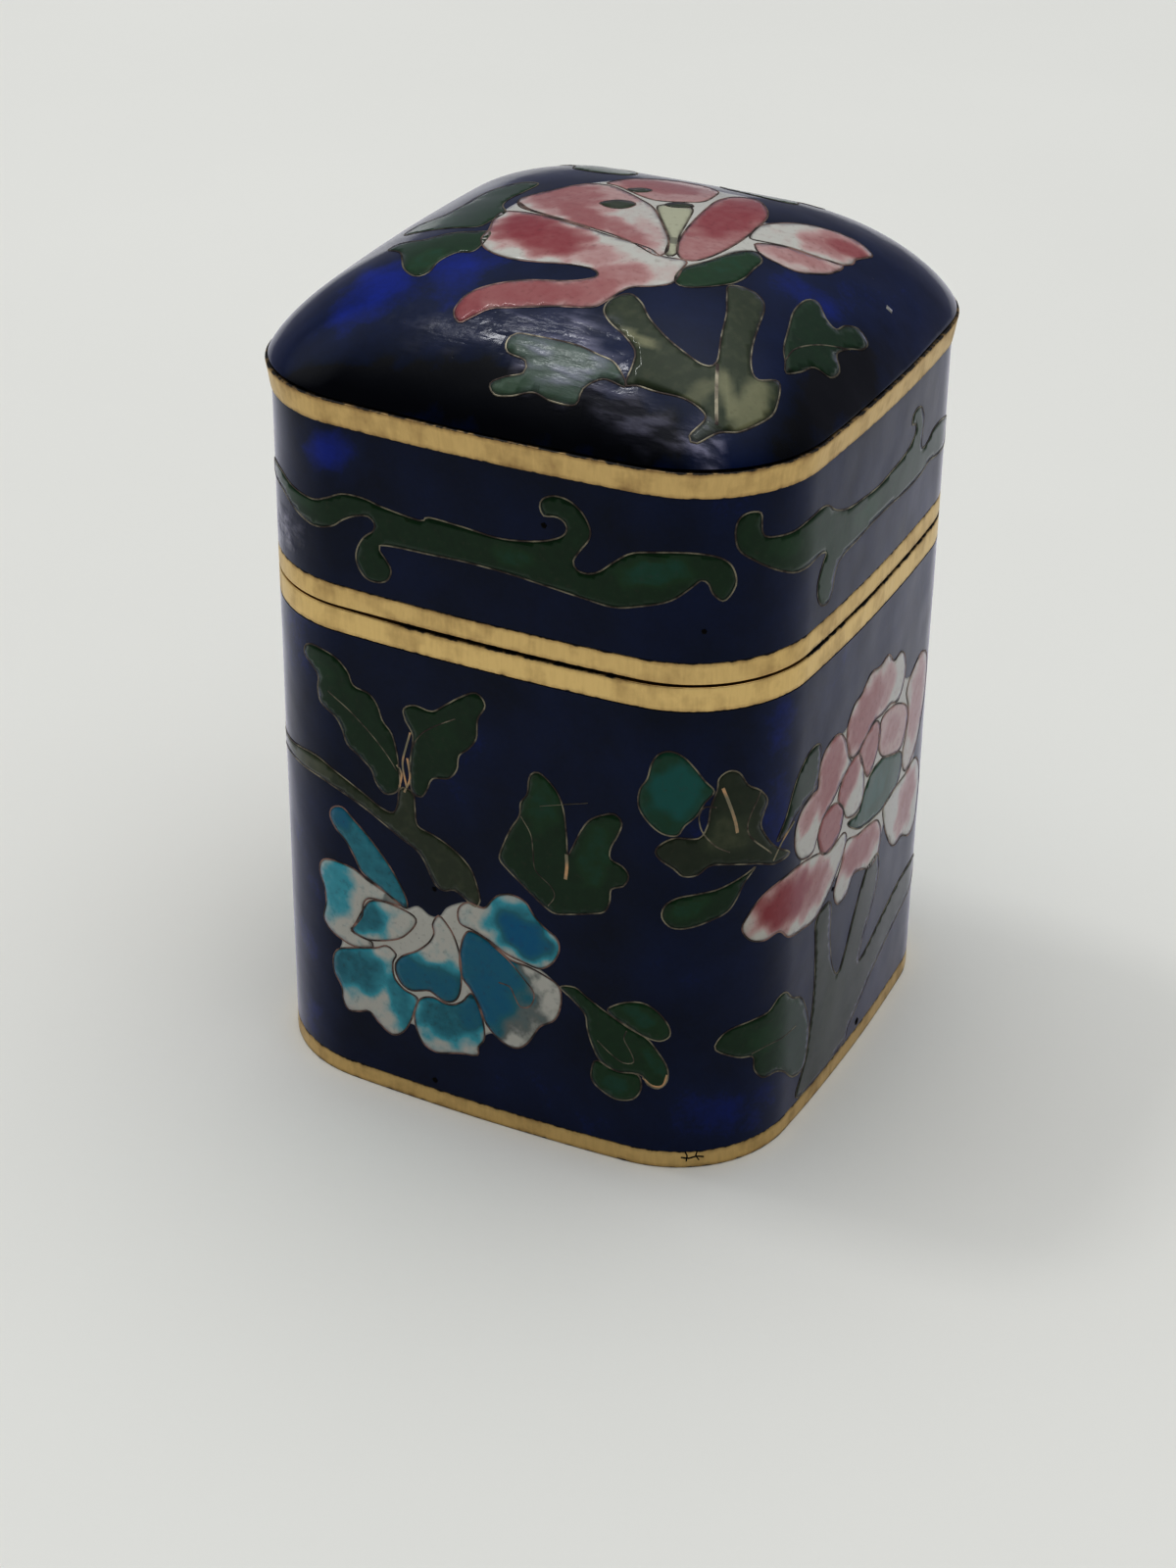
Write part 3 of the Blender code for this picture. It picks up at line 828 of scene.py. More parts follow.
CORNER_LEAVES = [
    (0.62, [(14.7, 32.2, 2.6, 2.2, 60, 1.0)],
     [(12.2, 32.1), (12.7, 33.0), (13.0, 34.3), (13.5, 35.1), (14.3, 35.4), (15.2, 35.0),
      (16.0, 34.1), (16.7, 33.1), (17.4, 32.2), (16.8, 31.4), (16.2, 30.3), (15.4, 29.5),
      (14.9, 28.7), (13.8, 28.8), (12.7, 29.7), (12.1, 30.8)]),
    (0.30, [(15.8, 22.6, 1.8, 0.9, 25, 0.55)],
     [(14.0, 21.9), (14.2, 22.9), (15.1, 23.6), (16.4, 23.9), (18.0, 24.2), (20.0, 25.0),
      (20.8, 25.4), (19.9, 24.3), (19.4, 23.2), (18.7, 22.2), (17.4, 21.6), (15.9, 21.1),
      (14.7, 21.1)]),
    (0.30, [(22.5, 10.0, 2.5, 1.4, -20, 0.45)],
     [(18.2, 10.4), (18.5, 11.4), (19.4, 12.0), (21.2, 12.2), (22.7, 12.3), (23.7, 13.0),
      (24.7, 13.0), (25.8, 11.9), (27.4, 10.9), (28.6, 8.6), (29.0, 6.4), (28.4, 4.2),
      (26.6, 4.3), (24.9, 5.8), (23.8, 6.4), (22.4, 6.6), (21.5, 7.7), (21.3, 8.9),
      (20.0, 9.3)]),
    (0.20, [],
     [(22.7, 26.8), (23.6, 28.5), (24.7, 31.0), (26.5, 32.3), (28.2, 32.1), (28.3, 30.4),
      (27.8, 28.9), (26.1, 28.4), (24.7, 28.0), (23.8, 27.2)]),
]

CORNER_STEMS = [
    (0.30, [(18.6, 28.6, 2.4, 1.8, 0, 0.55)],
     [(17.6, 32.3), (17.7, 33.2), (18.4, 33.7), (19.2, 33.4), (19.9, 32.3), (20.9, 31.6),
      (21.6, 30.6), (21.3, 29.6), (21.1, 28.7), (21.7, 27.5), (22.7, 26.3), (24.2, 25.2),
      (22.6, 25.0), (20.9, 25.6), (18.7, 26.1), (17.3, 26.2), (16.4, 25.5), (15.4, 25.4),
      (14.7, 26.0), (13.8, 26.6), (13.4, 27.2), (13.8, 27.9), (14.8, 28.5), (16.4, 28.5),
      (17.0, 29.5), (17.2, 31.0)]),
]

CORNER_LINES = [
    (0.9, [(17.6, 30.9), (16.8, 31.0), (16.4, 30.4), (16.5, 29.4), (16.9, 28.6), (17.7, 27.7),
           (18.7, 27.1)]),
    (1.0, [(21.0, 31.6), (20.0, 28.6), (22.2, 26.0)]),
    (0.8, [(21.2, 9.2), (22.7, 9.3), (24.4, 9.1), (26.6, 8.9)]),
]

BARE_LINES = [
    (1.4, [(-5.8, 32.0), (-6.2, 30.6), (-6.5, 29.2), (-6.2, 27.4)]),
    (1.5, [(-7.0, 29.0), (-6.6, 28.4), (-6.8, 27.2)]),
    (1.5, [(-6.1, 29.8), (-5.9, 28.2), (-6.4, 26.9)]),
    (2.2, [(6.7, 25.4), (6.75, 24.4), (6.65, 23.3)]),
    (2.0, [(18.0, 32.4), (18.5, 31.1), (19.0, 29.6), (19.2, 28.6)]),
    (1.5, [(22.4, 25.3), (23.3, 26.6), (24.6, 27.6)]),
    (1.4, [(12.9, 7.9), (13.6, 7.3), (14.4, 7.4), (14.7, 8.4)]),
]

RIGHT_FLOWER_GROUND = [
    (0.0, [],
     [(25.0, 26.5), (26.0, 28.0), (28.2, 28.5), (28.4, 30.2), (30.4, 31.4), (31.9, 31.1),
      (33.2, 31.4), (34.0, 32.4), (35.5, 32.7), (36.9, 33.6), (38.7, 33.3), (40.4, 33.5),
      (41.7, 32.4), (43.3, 32.4), (44.3, 31.4), (44.4, 29.8), (46.2, 29.2), (48.3, 29.9),
      (50.0, 28.9), (50.4, 26.4), (49.7, 23.9), (48.3, 21.4), (49.0, 19.0), (50.2, 16.5),
      (49.6, 14.4), (48.3, 13.9), (46.5, 14.7), (44.7, 14.9), (43.3, 16.1), (41.9, 18.2),
      (41.0, 16.5), (39.4, 15.9), (37.6, 16.7), (35.8, 17.2), (34.7, 16.2), (33.1, 16.1),
      (32.3, 17.3), (32.6, 18.6), (31.2, 18.3), (29.0, 17.2), (26.9, 17.4), (24.7, 17.9),
      (23.5, 19.0), (21.9, 18.9), (20.7, 19.4), (20.0, 20.4), (20.4, 21.4), (21.6, 22.6),
      (23.3, 23.2), (25.4, 23.3), (26.0, 24.0)]),
]

RIGHT_FLOWER = [
    (0.04, [(24.4, 21.0, 3.5, 2.0, -5, 1.0), (27.8, 20.2, 3.2, 1.9, -5, 0.58)],
     [(19.9, 20.4), (20.3, 21.4), (21.5, 22.7), (23.3, 23.3), (25.4, 23.4), (27.6, 23.0),
      (29.3, 22.5), (30.8, 21.8), (33.3, 22.1), (34.0, 21.1), (33.0, 19.7), (31.2, 18.2),
      (29.0, 17.1), (26.9, 17.3), (24.7, 17.8), (23.4, 18.9), (21.9, 18.8), (20.6, 19.3)]),
    (0.04, [(30.4, 28.6, 3.1, 2.1, 75, 0.66), (27.2, 27.0, 2.0, 1.1, 25, 0.50)],
     [(24.8, 26.2), (25.0, 27.2), (25.8, 28.0), (27.2, 28.4), (28.2, 28.5), (28.3, 30.0),
      (29.0, 31.0), (30.4, 31.5), (31.8, 31.2), (32.9, 30.0), (33.4, 28.6), (34.0, 27.7),
      (32.6, 27.1), (31.1, 26.1), (29.4, 25.4), (28.6, 24.3), (27.9, 23.3), (26.2, 23.6),
      (25.1, 24.7)]),
    (0.66, [],
     [(28.6, 24.3), (29.4, 25.4), (30.8, 25.7), (32.2, 25.2), (33.1, 24.0), (32.6, 22.5),
      (31.1, 21.9), (29.5, 22.3)]),
    (0.04, [(33.9, 26.3, 2.2, 1.5, 30, 0.66)],
     [(31.9, 25.7), (32.6, 27.0), (34.0, 27.7), (35.4, 27.8), (36.2, 26.8), (36.8, 25.0),
      (36.8, 23.2), (35.4, 22.6), (33.7, 23.2), (33.0, 24.3)]),
    (0.04, [(36.4, 30.5, 4.2, 2.2, 15, 0.62), (40.2, 31.0, 2.0, 1.8, 0, 0.42)],
     [(33.0, 31.4), (34.0, 32.5), (35.4, 32.8), (36.9, 33.7), (38.7, 33.4), (40.4, 33.6),
      (41.7, 32.5), (43.3, 32.5), (44.3, 31.4), (44.4, 29.7), (43.3, 28.4), (41.5, 28.9),
      (39.7, 28.9), (38.0, 29.1), (36.2, 28.2), (34.4, 27.9), (33.4, 28.9), (32.9, 30.2)]),
    (0.50, [(38.0, 27.0, 1.8, 1.4, 60, 0.62)],
     [(35.5, 27.8), (36.9, 28.7), (38.7, 28.9), (39.7, 27.5), (39.0, 25.7), (37.6, 24.7),
      (36.5, 26.0)]),
    (0.30, [(42.2, 26.4, 2.4, 1.4, -10, 0.48)],
     [(39.7, 28.5), (41.9, 28.5), (43.7, 27.9), (45.4, 26.8), (45.8, 25.4), (44.7, 23.6),
      (42.6, 24.0), (40.4, 25.0), (39.4, 26.4)]),
    (0.12, [(48.0, 26.0, 3.4, 1.9, 80, 0.45)],
     [(45.1, 28.2), (46.2, 29.3), (48.3, 30.0), (50.0, 29.0), (50.5, 26.5), (49.7, 24.0),
      (48.3, 21.5), (46.2, 20.7), (45.1, 22.5), (45.8, 24.7), (45.8, 26.5)]),
    (0.0, [(47.0, 17.6, 2.6, 2.0, 60, 0.52)],
     [(41.5, 20.0), (43.7, 20.4), (46.2, 20.4), (48.7, 20.6), (50.3, 18.6), (50.4, 16.4),
      (49.7, 14.3), (48.3, 13.8), (46.5, 14.7), (44.7, 14.8), (43.3, 16.0), (41.9, 18.2)]),
    (0.04, [(36.8, 18.7, 3.8, 1.6, -8, 0.64)],
     [(32.2, 17.2), (32.4, 18.2), (33.3, 19.6), (34.0, 21.0), (36.2, 20.4), (38.7, 20.0),
      (40.4, 19.4), (41.3, 17.9), (40.9, 16.3), (39.3, 15.8), (37.6, 16.6), (35.8, 17.1),
      (34.7, 16.1), (33.1, 16.0)]),
]

RIGHT_GREENS = [
    (0.60, [(39.5, 22.6, 3.2, 1.6, 0, 0.72)],
     [(34.0, 22.5), (36.1, 22.4), (36.9, 23.6), (38.3, 24.7), (40.4, 24.8), (42.6, 24.0),
      (45.0, 22.9), (44.7, 20.8), (41.9, 20.0), (39.0, 20.2), (36.2, 20.9)]),
]

RIGHT_STEMS = [
    (0.30, [(33.0, 6.0, 4.5, 2.5, 80, 0.42)],
     [(27.6, 1.75), (28.6, 4.6), (29.3, 8.0), (29.5, 11.0), (29.3, 14.0), (29.2, 16.8),
      (31.6, 17.0), (31.9, 14.0), (32.6, 11.0), (33.8, 9.4), (35.0, 10.6), (36.0, 12.5),
      (37.2, 14.3), (38.6, 16.0), (40.9, 16.2), (41.3, 13.8), (40.0, 11.5), (38.5, 9.6),
      (38.2, 8.0), (40.5, 8.6), (43.5, 9.7), (47.0, 10.6), (50.5, 10.6), (52.0, 9.4),
      (50.0, 8.0), (46.0, 7.0), (42.0, 5.6), (39.0, 4.0), (36.6, 2.6), (35.6, 1.75)]),
]

BAND_SCROLLS = [
    (0.30, [(2.5, 47.8, 2.2, 0.9, 0, 0.55), (12.8, 48.8, 3.0, 1.2, 15, 0.66),
            (-15.5, 48.0, 2.4, 0.8, 0, 0.45)],
     [(-20.3, 48.8), (-18.0, 49.0), (-16.0, 48.5), (-13.7, 48.3), (-12.3, 48.8), (-11.0, 49.4),
      (-9.3, 49.5), (-7.7, 49.2), (-4.7, 48.9), (-4.0, 49.3), (-1.3, 49.2), (1.3, 49.0),
      (3.3, 49.2), (5.0, 49.6), (6.2, 50.2), (6.5, 50.9), (6.1, 51.4), (5.5, 51.5),
      (4.8, 51.4), (4.5, 52.0), (4.7, 52.6), (5.5, 53.0), (6.6, 52.9), (7.6, 52.2),
      (8.2, 51.1), (8.1, 50.3), (7.5, 49.4), (7.0, 48.5), (7.3, 47.9), (8.1, 47.8),
      (9.0, 48.2), (10.0, 49.1), (11.3, 50.0), (13.3, 50.4), (15.3, 50.5), (17.0, 50.2),
      (18.0, 49.5), (18.4, 48.3), (18.1, 47.4), (17.5, 46.9), (16.8, 47.5), (16.5, 48.2),
      (16.0, 48.5), (15.3, 47.9), (14.0, 46.9), (12.0, 46.2), (10.0, 45.7), (7.7, 45.9),
      (5.0, 46.2), (2.0, 46.5), (-1.3, 46.6), (-4.0, 46.5), (-6.7, 46.4), (-8.0, 46.2),
      (-8.0, 45.8), (-7.5, 45.2), (-7.1, 44.5), (-7.4, 43.7), (-8.2, 43.3), (-9.2, 43.4),
      (-9.9, 44.3), (-9.9, 45.4), (-9.3, 46.5), (-8.5, 47.2), (-8.4, 47.8), (-8.9, 48.2),
      (-9.9, 48.0), (-10.9, 47.5), (-12.0, 46.7), (-13.7, 46.3), (-15.7, 46.8), (-17.7, 47.6),
      (-20.3, 47.9)]),
    (0.30, [(22.5, 49.9, 2.4, 0.9, -10, 0.45), (34.5, 47.8, 2.8, 1.0, 0, 0.50)],
     [(18.3, 51.0), (18.2, 52.1), (18.5, 52.9), (19.2, 53.2), (20.0, 53.0), (20.1, 52.1),
      (20.2, 51.5), (20.7, 51.1), (22.7, 50.9), (24.7, 51.2), (26.4, 51.3), (27.5, 51.0),
      (28.7, 50.2), (30.7, 49.5), (33.3, 49.2), (36.0, 49.0), (38.7, 49.2), (40.7, 49.4),
      (42.0, 49.7), (43.0, 50.4), (42.9, 51.0), (42.1, 51.3), (42.2, 51.9), (43.0, 52.2),
      (44.0, 51.9), (44.7, 50.9), (44.6, 49.7), (44.5, 48.9), (45.0, 48.3), (46.0, 48.4),
      (47.3, 48.9), (49.0, 48.9), (50.7, 48.5), (52.0, 47.8), (51.3, 46.3), (48.7, 46.3),
      (46.7, 46.6), (44.7, 46.3), (42.0, 46.3), (38.7, 46.5), (35.3, 46.5), (32.7, 46.3),
      (30.7, 46.2), (29.6, 45.9), (29.0, 45.2), (28.8, 44.3), (28.3, 43.5), (27.3, 43.5),
      (26.5, 44.3), (26.3, 45.6), (26.9, 46.8), (27.4, 47.5), (26.3, 47.8), (24.7, 47.6),
      (23.3, 47.7), (22.0, 48.2), (20.7, 48.9), (19.5, 49.7), (18.7, 50.3)]),
]

DOME_FLOWER_GROUND = [
    # A tiny white fleck on the dome, away from the flower.
    (0.0, [], [(18.5, 4.6), (18.9, 4.7), (18.8, 5.1), (18.4, 5.0)]),
    (0.0, [],
     [(-8.2, -2.4), (-8.0, 0.3), (-6.6, 3.0), (-4.5, 6.0), (-2.0, 8.6), (1.0, 9.4), (4.0, 9.4),
      (6.3, 9.0), (8.5, 6.2), (9.0, 5.0), (11.0, 7.2), (12.7, 8.5), (14.4, 9.1), (15.5, 8.8),
      (15.1, 6.7), (15.0, 4.7), (14.6, 2.8), (13.8, 1.0), (12.0, 0.1), (10.6, 0.3), (9.4, -1.0),
      (8.6, -4.0), (7.7, -6.2), (7.9, -8.2), (7.1, -9.2), (5.9, -9.8), (4.0, -9.0), (3.2, -8.0),
      (2.1, -8.4), (0.3, -8.8), (-1.7, -9.2), (-3.7, -9.4), (-5.7, -8.9), (-6.9, -7.6),
      (-7.2, -5.9), (-7.8, -4.2)]),
]

DOME_FLOWER = [
    (0.05, [(-5.0, -4.9, 2.9, 2.2, -60, 0.98), (-2.4, -5.9, 3.1, 2.3, -25, 0.92),
            (1.6, -7.0, 2.2, 1.6, -25, 0.40), (4.2, -9.0, 2.6, 1.8, 30, 0.50),
            (3.2, -11.2, 2.8, 1.8, 60, 0.62), (-1.0, -12.7, 5.4, 1.5, 14, 0.76),
            (-4.3, -14.9, 1.6, 1.5, 0, 0.86), (7.0, -7.4, 1.6, 1.0, 60, 0.16)],
     [(-8.2, -2.4), (-7.3, -2.1), (-5.5, -2.3), (-3.2, -2.9), (-0.8, -3.4), (1.3, -3.9),
      (4.4, -4.6), (5.7, -5.3), (7.4, -5.0), (7.7, -6.2), (8.0, -8.2), (7.1, -9.3),
      (5.9, -9.9), (5.4, -10.4), (4.8, -11.8), (4.1, -12.7), (1.6, -13.3), (-0.8, -14.0),
      (-2.6, -14.5), (-3.6, -15.4), (-4.3, -15.9), (-5.1, -15.1), (-4.8, -13.6), (-3.5, -12.4),
      (-1.4, -11.4), (1.0, -10.8), (2.3, -10.2), (2.9, -9.5), (2.2, -8.9), (0.3, -8.9),
      (-1.7, -9.3), (-3.8, -9.5), (-5.8, -9.0), (-7.0, -7.7), (-7.3, -6.0), (-7.9, -4.2)]),
    (0.08, [(-5.4, 2.0, 4.4, 3.0, -38, 0.60), (-2.4, -1.2, 4.0, 1.5, -36, 0.68),
            (1.8, -2.9, 3.6, 1.2, -36, 0.56), (-2.4, 3.8, 2.4, 1.6, -25, 0.34),
            (3.0, -1.8, 2.6, 1.0, -48, 0.24)],
     [(-8.3, 0.5), (-7.6, -0.9), (-6.4, -1.7), (-4.7, -2.2), (-2.5, -2.8), (-0.6, -3.2),
      (1.4, -3.7), (3.2, -4.4), (4.7, -5.2), (5.5, -5.4), (5.7, -4.4), (4.9, -2.5),
      (3.7, -0.7), (2.5, 1.0), (1.3, 2.5), (0.0, 3.5), (-1.9, 4.7), (-3.5, 5.4), (-5.0, 5.2),
      (-6.0, 4.2), (-7.0, 2.8), (-7.9, 1.6)]),
    (0.52, [(6.6, 4.0, 5.2, 2.4, 88, 0.92)],
     [(4.6, 4.4), (4.5, 6.7), (5.0, 8.5), (6.2, 9.1), (7.4, 8.2), (8.6, 6.1), (8.9, 3.2),
      (8.9, 0.3), (8.6, -2.4), (8.0, -4.4), (7.1, -4.9), (6.2, -3.9), (5.4, -1.5), (4.9, 1.4)]),
    (0.05, [(13.4, 6.7, 2.6, 1.6, 60, 0.52), (14.2, 7.3, 1.6, 1.2, 40, 0.84)],
     [(8.9, 4.3), (9.7, 5.8), (10.9, 7.3), (12.7, 8.6), (14.4, 9.2), (15.6, 8.9), (15.5, 7.9),
      (15.2, 6.7), (15.3, 5.9), (14.8, 4.7), (13.3, 3.7), (11.6, 2.9), (10.1, 2.0),
      (9.2, 1.7), (8.9, 3.0)]),
    (0.22, [(12.6, 2.3, 3.0, 1.3, 30, 0.46)],
     [(9.9, 1.4), (11.3, 2.6), (13.3, 3.6), (15.0, 4.8), (14.9, 2.9), (14.2, 1.4), (13.3, 0.3),
      (11.8, 0.0), (10.6, 0.2), (10.0, 0.8)]),
    (0.40, [(-0.4, 7.4, 3.6, 2.0, 10, 0.68)],
     [(-4.0, 6.0), (-3.0, 8.4), (-0.8, 10.4), (1.4, 10.6), (3.2, 9.4), (3.8, 7.6), (3.8, 5.6),
      (2.6, 4.6), (1.2, 4.0), (0.0, 4.1), (-1.8, 5.0), (-3.0, 5.6)]),
]

DOME_GREENS = [
    (0.44, [(9.6, -3.6, 3.2, 1.4, 75, 0.52)],
     [(10.2, 0.0), (11.2, -0.7), (11.3, -2.4), (11.4, -3.9), (11.1, -5.6), (10.1, -7.3),
      (8.9, -8.3), (8.0, -8.0), (7.7, -6.3), (8.6, -3.9), (9.2, -1.8)]),
    (0.36, [(-9.6, -10.8, 2.0, 1.4, 60, 0.52)],
     [(-12.3, -9.7), (-10.8, -11.9), (-9.4, -12.8), (-8.6, -12.3), (-8.5, -11.0), (-7.8, -9.8),
      (-6.7, -9.4), (-6.6, -7.8), (-7.0, -6.4), (-8.2, -6.5), (-10.1, -6.9), (-11.6, -7.8),
      (-13.6, -7.6), (-13.9, -8.6)]),
    (0.35, [(-12.6, -3.6, 2.2, 1.2, 0, 0.5)],
     [(-8.4, -5.6), (-10.6, -5.7), (-12.8, -5.5), (-14.8, -4.7), (-15.0, -2.8), (-13.3, -1.6),
      (-12.8, 0.8), (-12.4, 3.4), (-10.6, 4.8), (-8.8, 4.4), (-8.9, 2.4), (-9.2, 0.6),
      (-8.9, -0.9), (-7.9, -2.4), (-8.0, -4.0)]),
    (0.25, [],
     [(15.2, -2.1), (15.8, -1.4), (16.8, -2.3), (17.6, -2.4), (17.8, -1.2), (18.4, -0.2),
      (19.2, -0.4), (19.3, -1.5), (18.8, -3.0), (18.6, -4.5), (19.3, -5.6), (19.2, -7.0),
      (18.3, -7.7), (18.0, -9.2), (17.5, -10.6), (17.0, -9.7), (16.4, -8.6), (15.8, -6.5),
      (15.2, -4.2)]),
    (0.35, [(6.0, 13.0, 3.0, 1.6, -40, 0.5)],
     [(2.6, 11.8), (1.8, 13.6), (3.4, 15.6), (6.0, 16.4), (8.8, 15.6), (9.6, 13.6), (8.2, 12.9),
      (8.6, 11.2), (7.0, 10.4), (4.8, 10.9)]),
    (0.35, [(-7.6, 12.4, 3.0, 1.4, 50, 0.5)],
     [(-4.2, 9.2), (-6.2, 8.6), (-8.4, 9.4), (-9.4, 11.4), (-11.2, 12.6), (-11.0, 14.6),
      (-9.0, 15.8), (-6.8, 15.2), (-6.6, 13.4), (-4.8, 12.2), (-3.9, 10.6)]),
]

DOME_HEARTS = [
    (0.50, [],
     [(-2.4, 1.5), (-1.7, 2.6), (-0.7, 2.9), (0.0, 2.4), (-0.2, 1.4), (-1.2, 0.9)]),
    (0.45, [],
     [(1.8, 3.6), (2.4, 4.4), (3.4, 4.5), (3.7, 3.9), (2.8, 3.3), (2.1, 3.2)]),
    (0.45, [],
     [(-2.1, 5.3), (-1.4, 6.2), (-0.5, 6.1), (-0.5, 5.4), (-1.3, 4.9)]),
]

DOME_STEMS = [
    (0.50, [(17.0, -15.2, 3.0, 1.1, 100, 0.95), (13.6, -16.6, 3.0, 0.7, 60, 0.75),
            (15.4, -15.4, 2.4, 0.5, 127, 1.0), (8.4, -14.3, 1.6, 0.4, -12, 1.0)],
     [(5.0, -11.6), (5.9, -10.7), (7.1, -11.3), (8.3, -12.5), (10.1, -13.6), (11.8, -14.2),
      (13.2, -14.4), (13.8, -13.7), (13.1, -11.5), (12.4, -9.2), (11.6, -7.4), (11.1, -6.0),
      (12.1, -5.2), (13.2, -5.3), (13.9, -6.3), (14.5, -8.6), (15.1, -10.9), (15.8, -12.5),
      (16.5, -12.9), (17.5, -11.8), (18.1, -13.3), (18.1, -14.7), (17.1, -16.7), (15.9, -17.7),
      (14.9, -18.9), (14.3, -18.8), (14.8, -17.4), (13.3, -17.1), (11.3, -17.4), (9.8, -17.4),
      (9.0, -17.5), (8.9, -16.3), (8.6, -15.3), (7.4, -14.4), (5.9, -13.6), (5.0, -12.7)]),
]

DOME_PALE_CELLS = [
    (0.24, [(4.0, -17.2, 3.8, 1.6, 0, 0.42)],
     [(-0.3, -16.5), (0.1, -15.9), (1.6, -15.8), (4.4, -15.8), (6.3, -16.1), (7.7, -16.4),
      (9.1, -17.6), (7.4, -17.5), (6.3, -18.3), (6.2, -19.2), (4.4, -19.3), (3.0, -19.1),
      (1.6, -19.5), (0.4, -19.6), (-0.2, -19.1), (0.7, -18.6), (1.8, -18.2), (1.6, -17.5),
      (0.1, -17.2)]),
    (0.95, [],
     [(1.5, 3.0), (2.8, 4.0), (3.9, 3.6), (4.6, 1.2), (5.3, -1.6), (6.4, -4.4), (5.8, -4.9),
      (4.9, -2.4), (3.6, -0.4), (2.4, 1.3)]),
]

DOME_LINES = [
    (0.9, [(18.9, -2.8), (17.6, -5.4), (16.9, -7.8), (17.0, -9.8)]),
    (2.0, [(13.9, -13.8), (14.8, -15.8), (15.6, -17.4)]),
]

DOME_FLOWER_LINES = [
    (2.4, [(-8.0, -0.2), (-6.5, -1.5), (-4.7, -2.25), (-2.5, -2.95), (-0.8, -3.35)]),
]

# Blots of scuffed enamel (on the dome also a painted lavender sheen for a soft reflection), of painted
# glow where the ground is drawn lighter for light coming back through it, and of painted shade where the
# dome is drawn near black for dark reflections.
DOME_SCUFFS_AND_PAINTED_SHEEN = [(2.0, -14.7, 4.4, 1.2, 8, 0.8), (4.4, -17.0, 3.8, 1.8, -6, 0.9),
               (10.0, -18.8, 3.4, 1.1, -8, 0.5), (15.2, -18.6, 1.5, 1.1, 0, 1.0),
               (-4.4, -16.4, 3.4, 1.4, 12, 0.16)]
BAND_SCUFFS = [(-17.6, 44.6, 2.4, 1.3, 10, 0.9)]
DOME_PAINTED_GLOW = [(-11.8, -14.2, 3.4, 2.8, 55, 0.56), (-8.6, -13.0, 5.5, 3.2, 35, 0.36),
             (13.8, -2.2, 3.4, 2.6, 80, 0.38), (9.6, -11.0, 3.0, 2.4, 60, 0.16)]
BAND_PAINTED_GLOW = [(-12.0, 52.3, 2.2, 1.7, 0, 0.72), (24.0, 45.5, 3.0, 2.0, 90, 0.20)]
BODY_PAINTED_GLOW = [(22.2, 31.0, 8.0, 2.2, 90, 0.44), (18.8, 4.6, 4.5, 3.0, 0, 0.30),
             (-16.0, 12.0, 10.0, 2.6, 90, 0.28), (30.0, 34.0, 6.0, 4.0, 0, 0.16),
             (3.0, 32.0, 7.0, 4.0, 20, 0.14), (9.5, 31.0, 6.0, 3.4, 0, 0.20),
             (-15.0, 36.5, 3.0, 3.4, 0, 0.24), (11.5, 4.0, 5.0, 2.6, 0, 0.22),
             (-53.0, 20.0, 9.0, 3.0, 90, 0.25)]
# Painted shade: the dome's front and right edges drawn near black for dark reflections.
DOME_SHADE = [(4.0, -19.6, 10.0, 1.6, 0, 0.75), (-12.0, -20.4, 8.0, 0.9, 0, 0.75),
              (19.6, -8.0, 9.0, 1.5, 90, 0.6)]

# Burst bubbles (place round the jar, height, radius) and cracks.
PINHOLES = [(4.8, 50.7, 0.22), (-4.2, 2.3, 0.24), (38.6, 2.1, 0.30), (31.9, 18.0, 0.18),
            (-4.0, 19.4, 0.20), (-21.6, 26.6, 0.30), (16.3, 44.7, 0.20), (78.0, 12.4, 0.20),
            (118.0, 48.6, 0.22)]
RIM_CRACKS = [
    (0.9, [(15.9, 0.95), (16.5, 0.85), (17.0, 1.0), (17.6, 0.9)]),
    (0.8, [(16.2, 1.45), (16.35, 1.1), (16.3, 0.6)]),
    (0.7, [(17.1, 1.5), (17.0, 1.1), (17.25, 0.65)]),
]


def small_hole(along, height, radius):
    """A small uneven cell for a burst bubble."""
    points = [(along + radius, height), (along + 0.3 * radius, height + 0.9 * radius),
              (along - 0.9 * radius, height + 0.4 * radius),
              (along - 0.6 * radius, height - 0.8 * radius), (along + 0.5 * radius, height - radius)]
    return (0.0, [], points)


def shifted(cells, shift):
    """The same cells further round the jar."""
    return [
        (base, [(x + shift, *rest) for x, *rest in blots], [(x + shift, y) for x, y in points])
        for base, blots, points in cells
    ]


def both_sides(cells):
    """Cells drawn on the front and the right face, and again on the two faces opposite."""
    half_way = 2 * outline_measures()[4] / MM
    return cells + shifted(cells, half_way)


def edges_of(cells):
    return [points for _, _, points in cells]


# Where the lid and the body all but meet (1), by places round the jar in millimetres.
SEAM_PLACES = (-37.0, -27.0, -12.0, -6.0, 10.0, 15.0, 22.0, 26.0)
SEAM_CLOSED = (0.0, 1.0, 1.0, 0.0, 0.0, 0.8, 0.8, 0.0)
SEAM_SHIFT = 0.045 * MM  # how far each rim moves to close the seam
SEAM_CLEAN_WIDTH = 0.35 * MM  # how far the stain is kept from a closed seam


def rim_edge_distance(piece, low, high, closed):
    """Distance from each point to the rim's nearer stained edge, in millimetres.

    The edges at the seam have no stain where it is closed.
    """
    height = coordinates(piece)[:, 2]
    clean = SEAM_CLEAN_WIDTH * closed
    from_low = height - low + clean * (low == LID_MOUTH)
    from_high = high - height + clean * (high == MOUTH)
    add_values(piece, "edge", np.minimum(from_low, from_high) / MM)


def close_seam(piece, closed, edge, shift):
    """Shifts a rim's edge where the seam is closed."""
    for corner, amount in zip(piece.data.vertices, closed):
        if abs(corner.co.z - edge) < 0.1 * MM:
            corner.co.z += shift * float(amount)


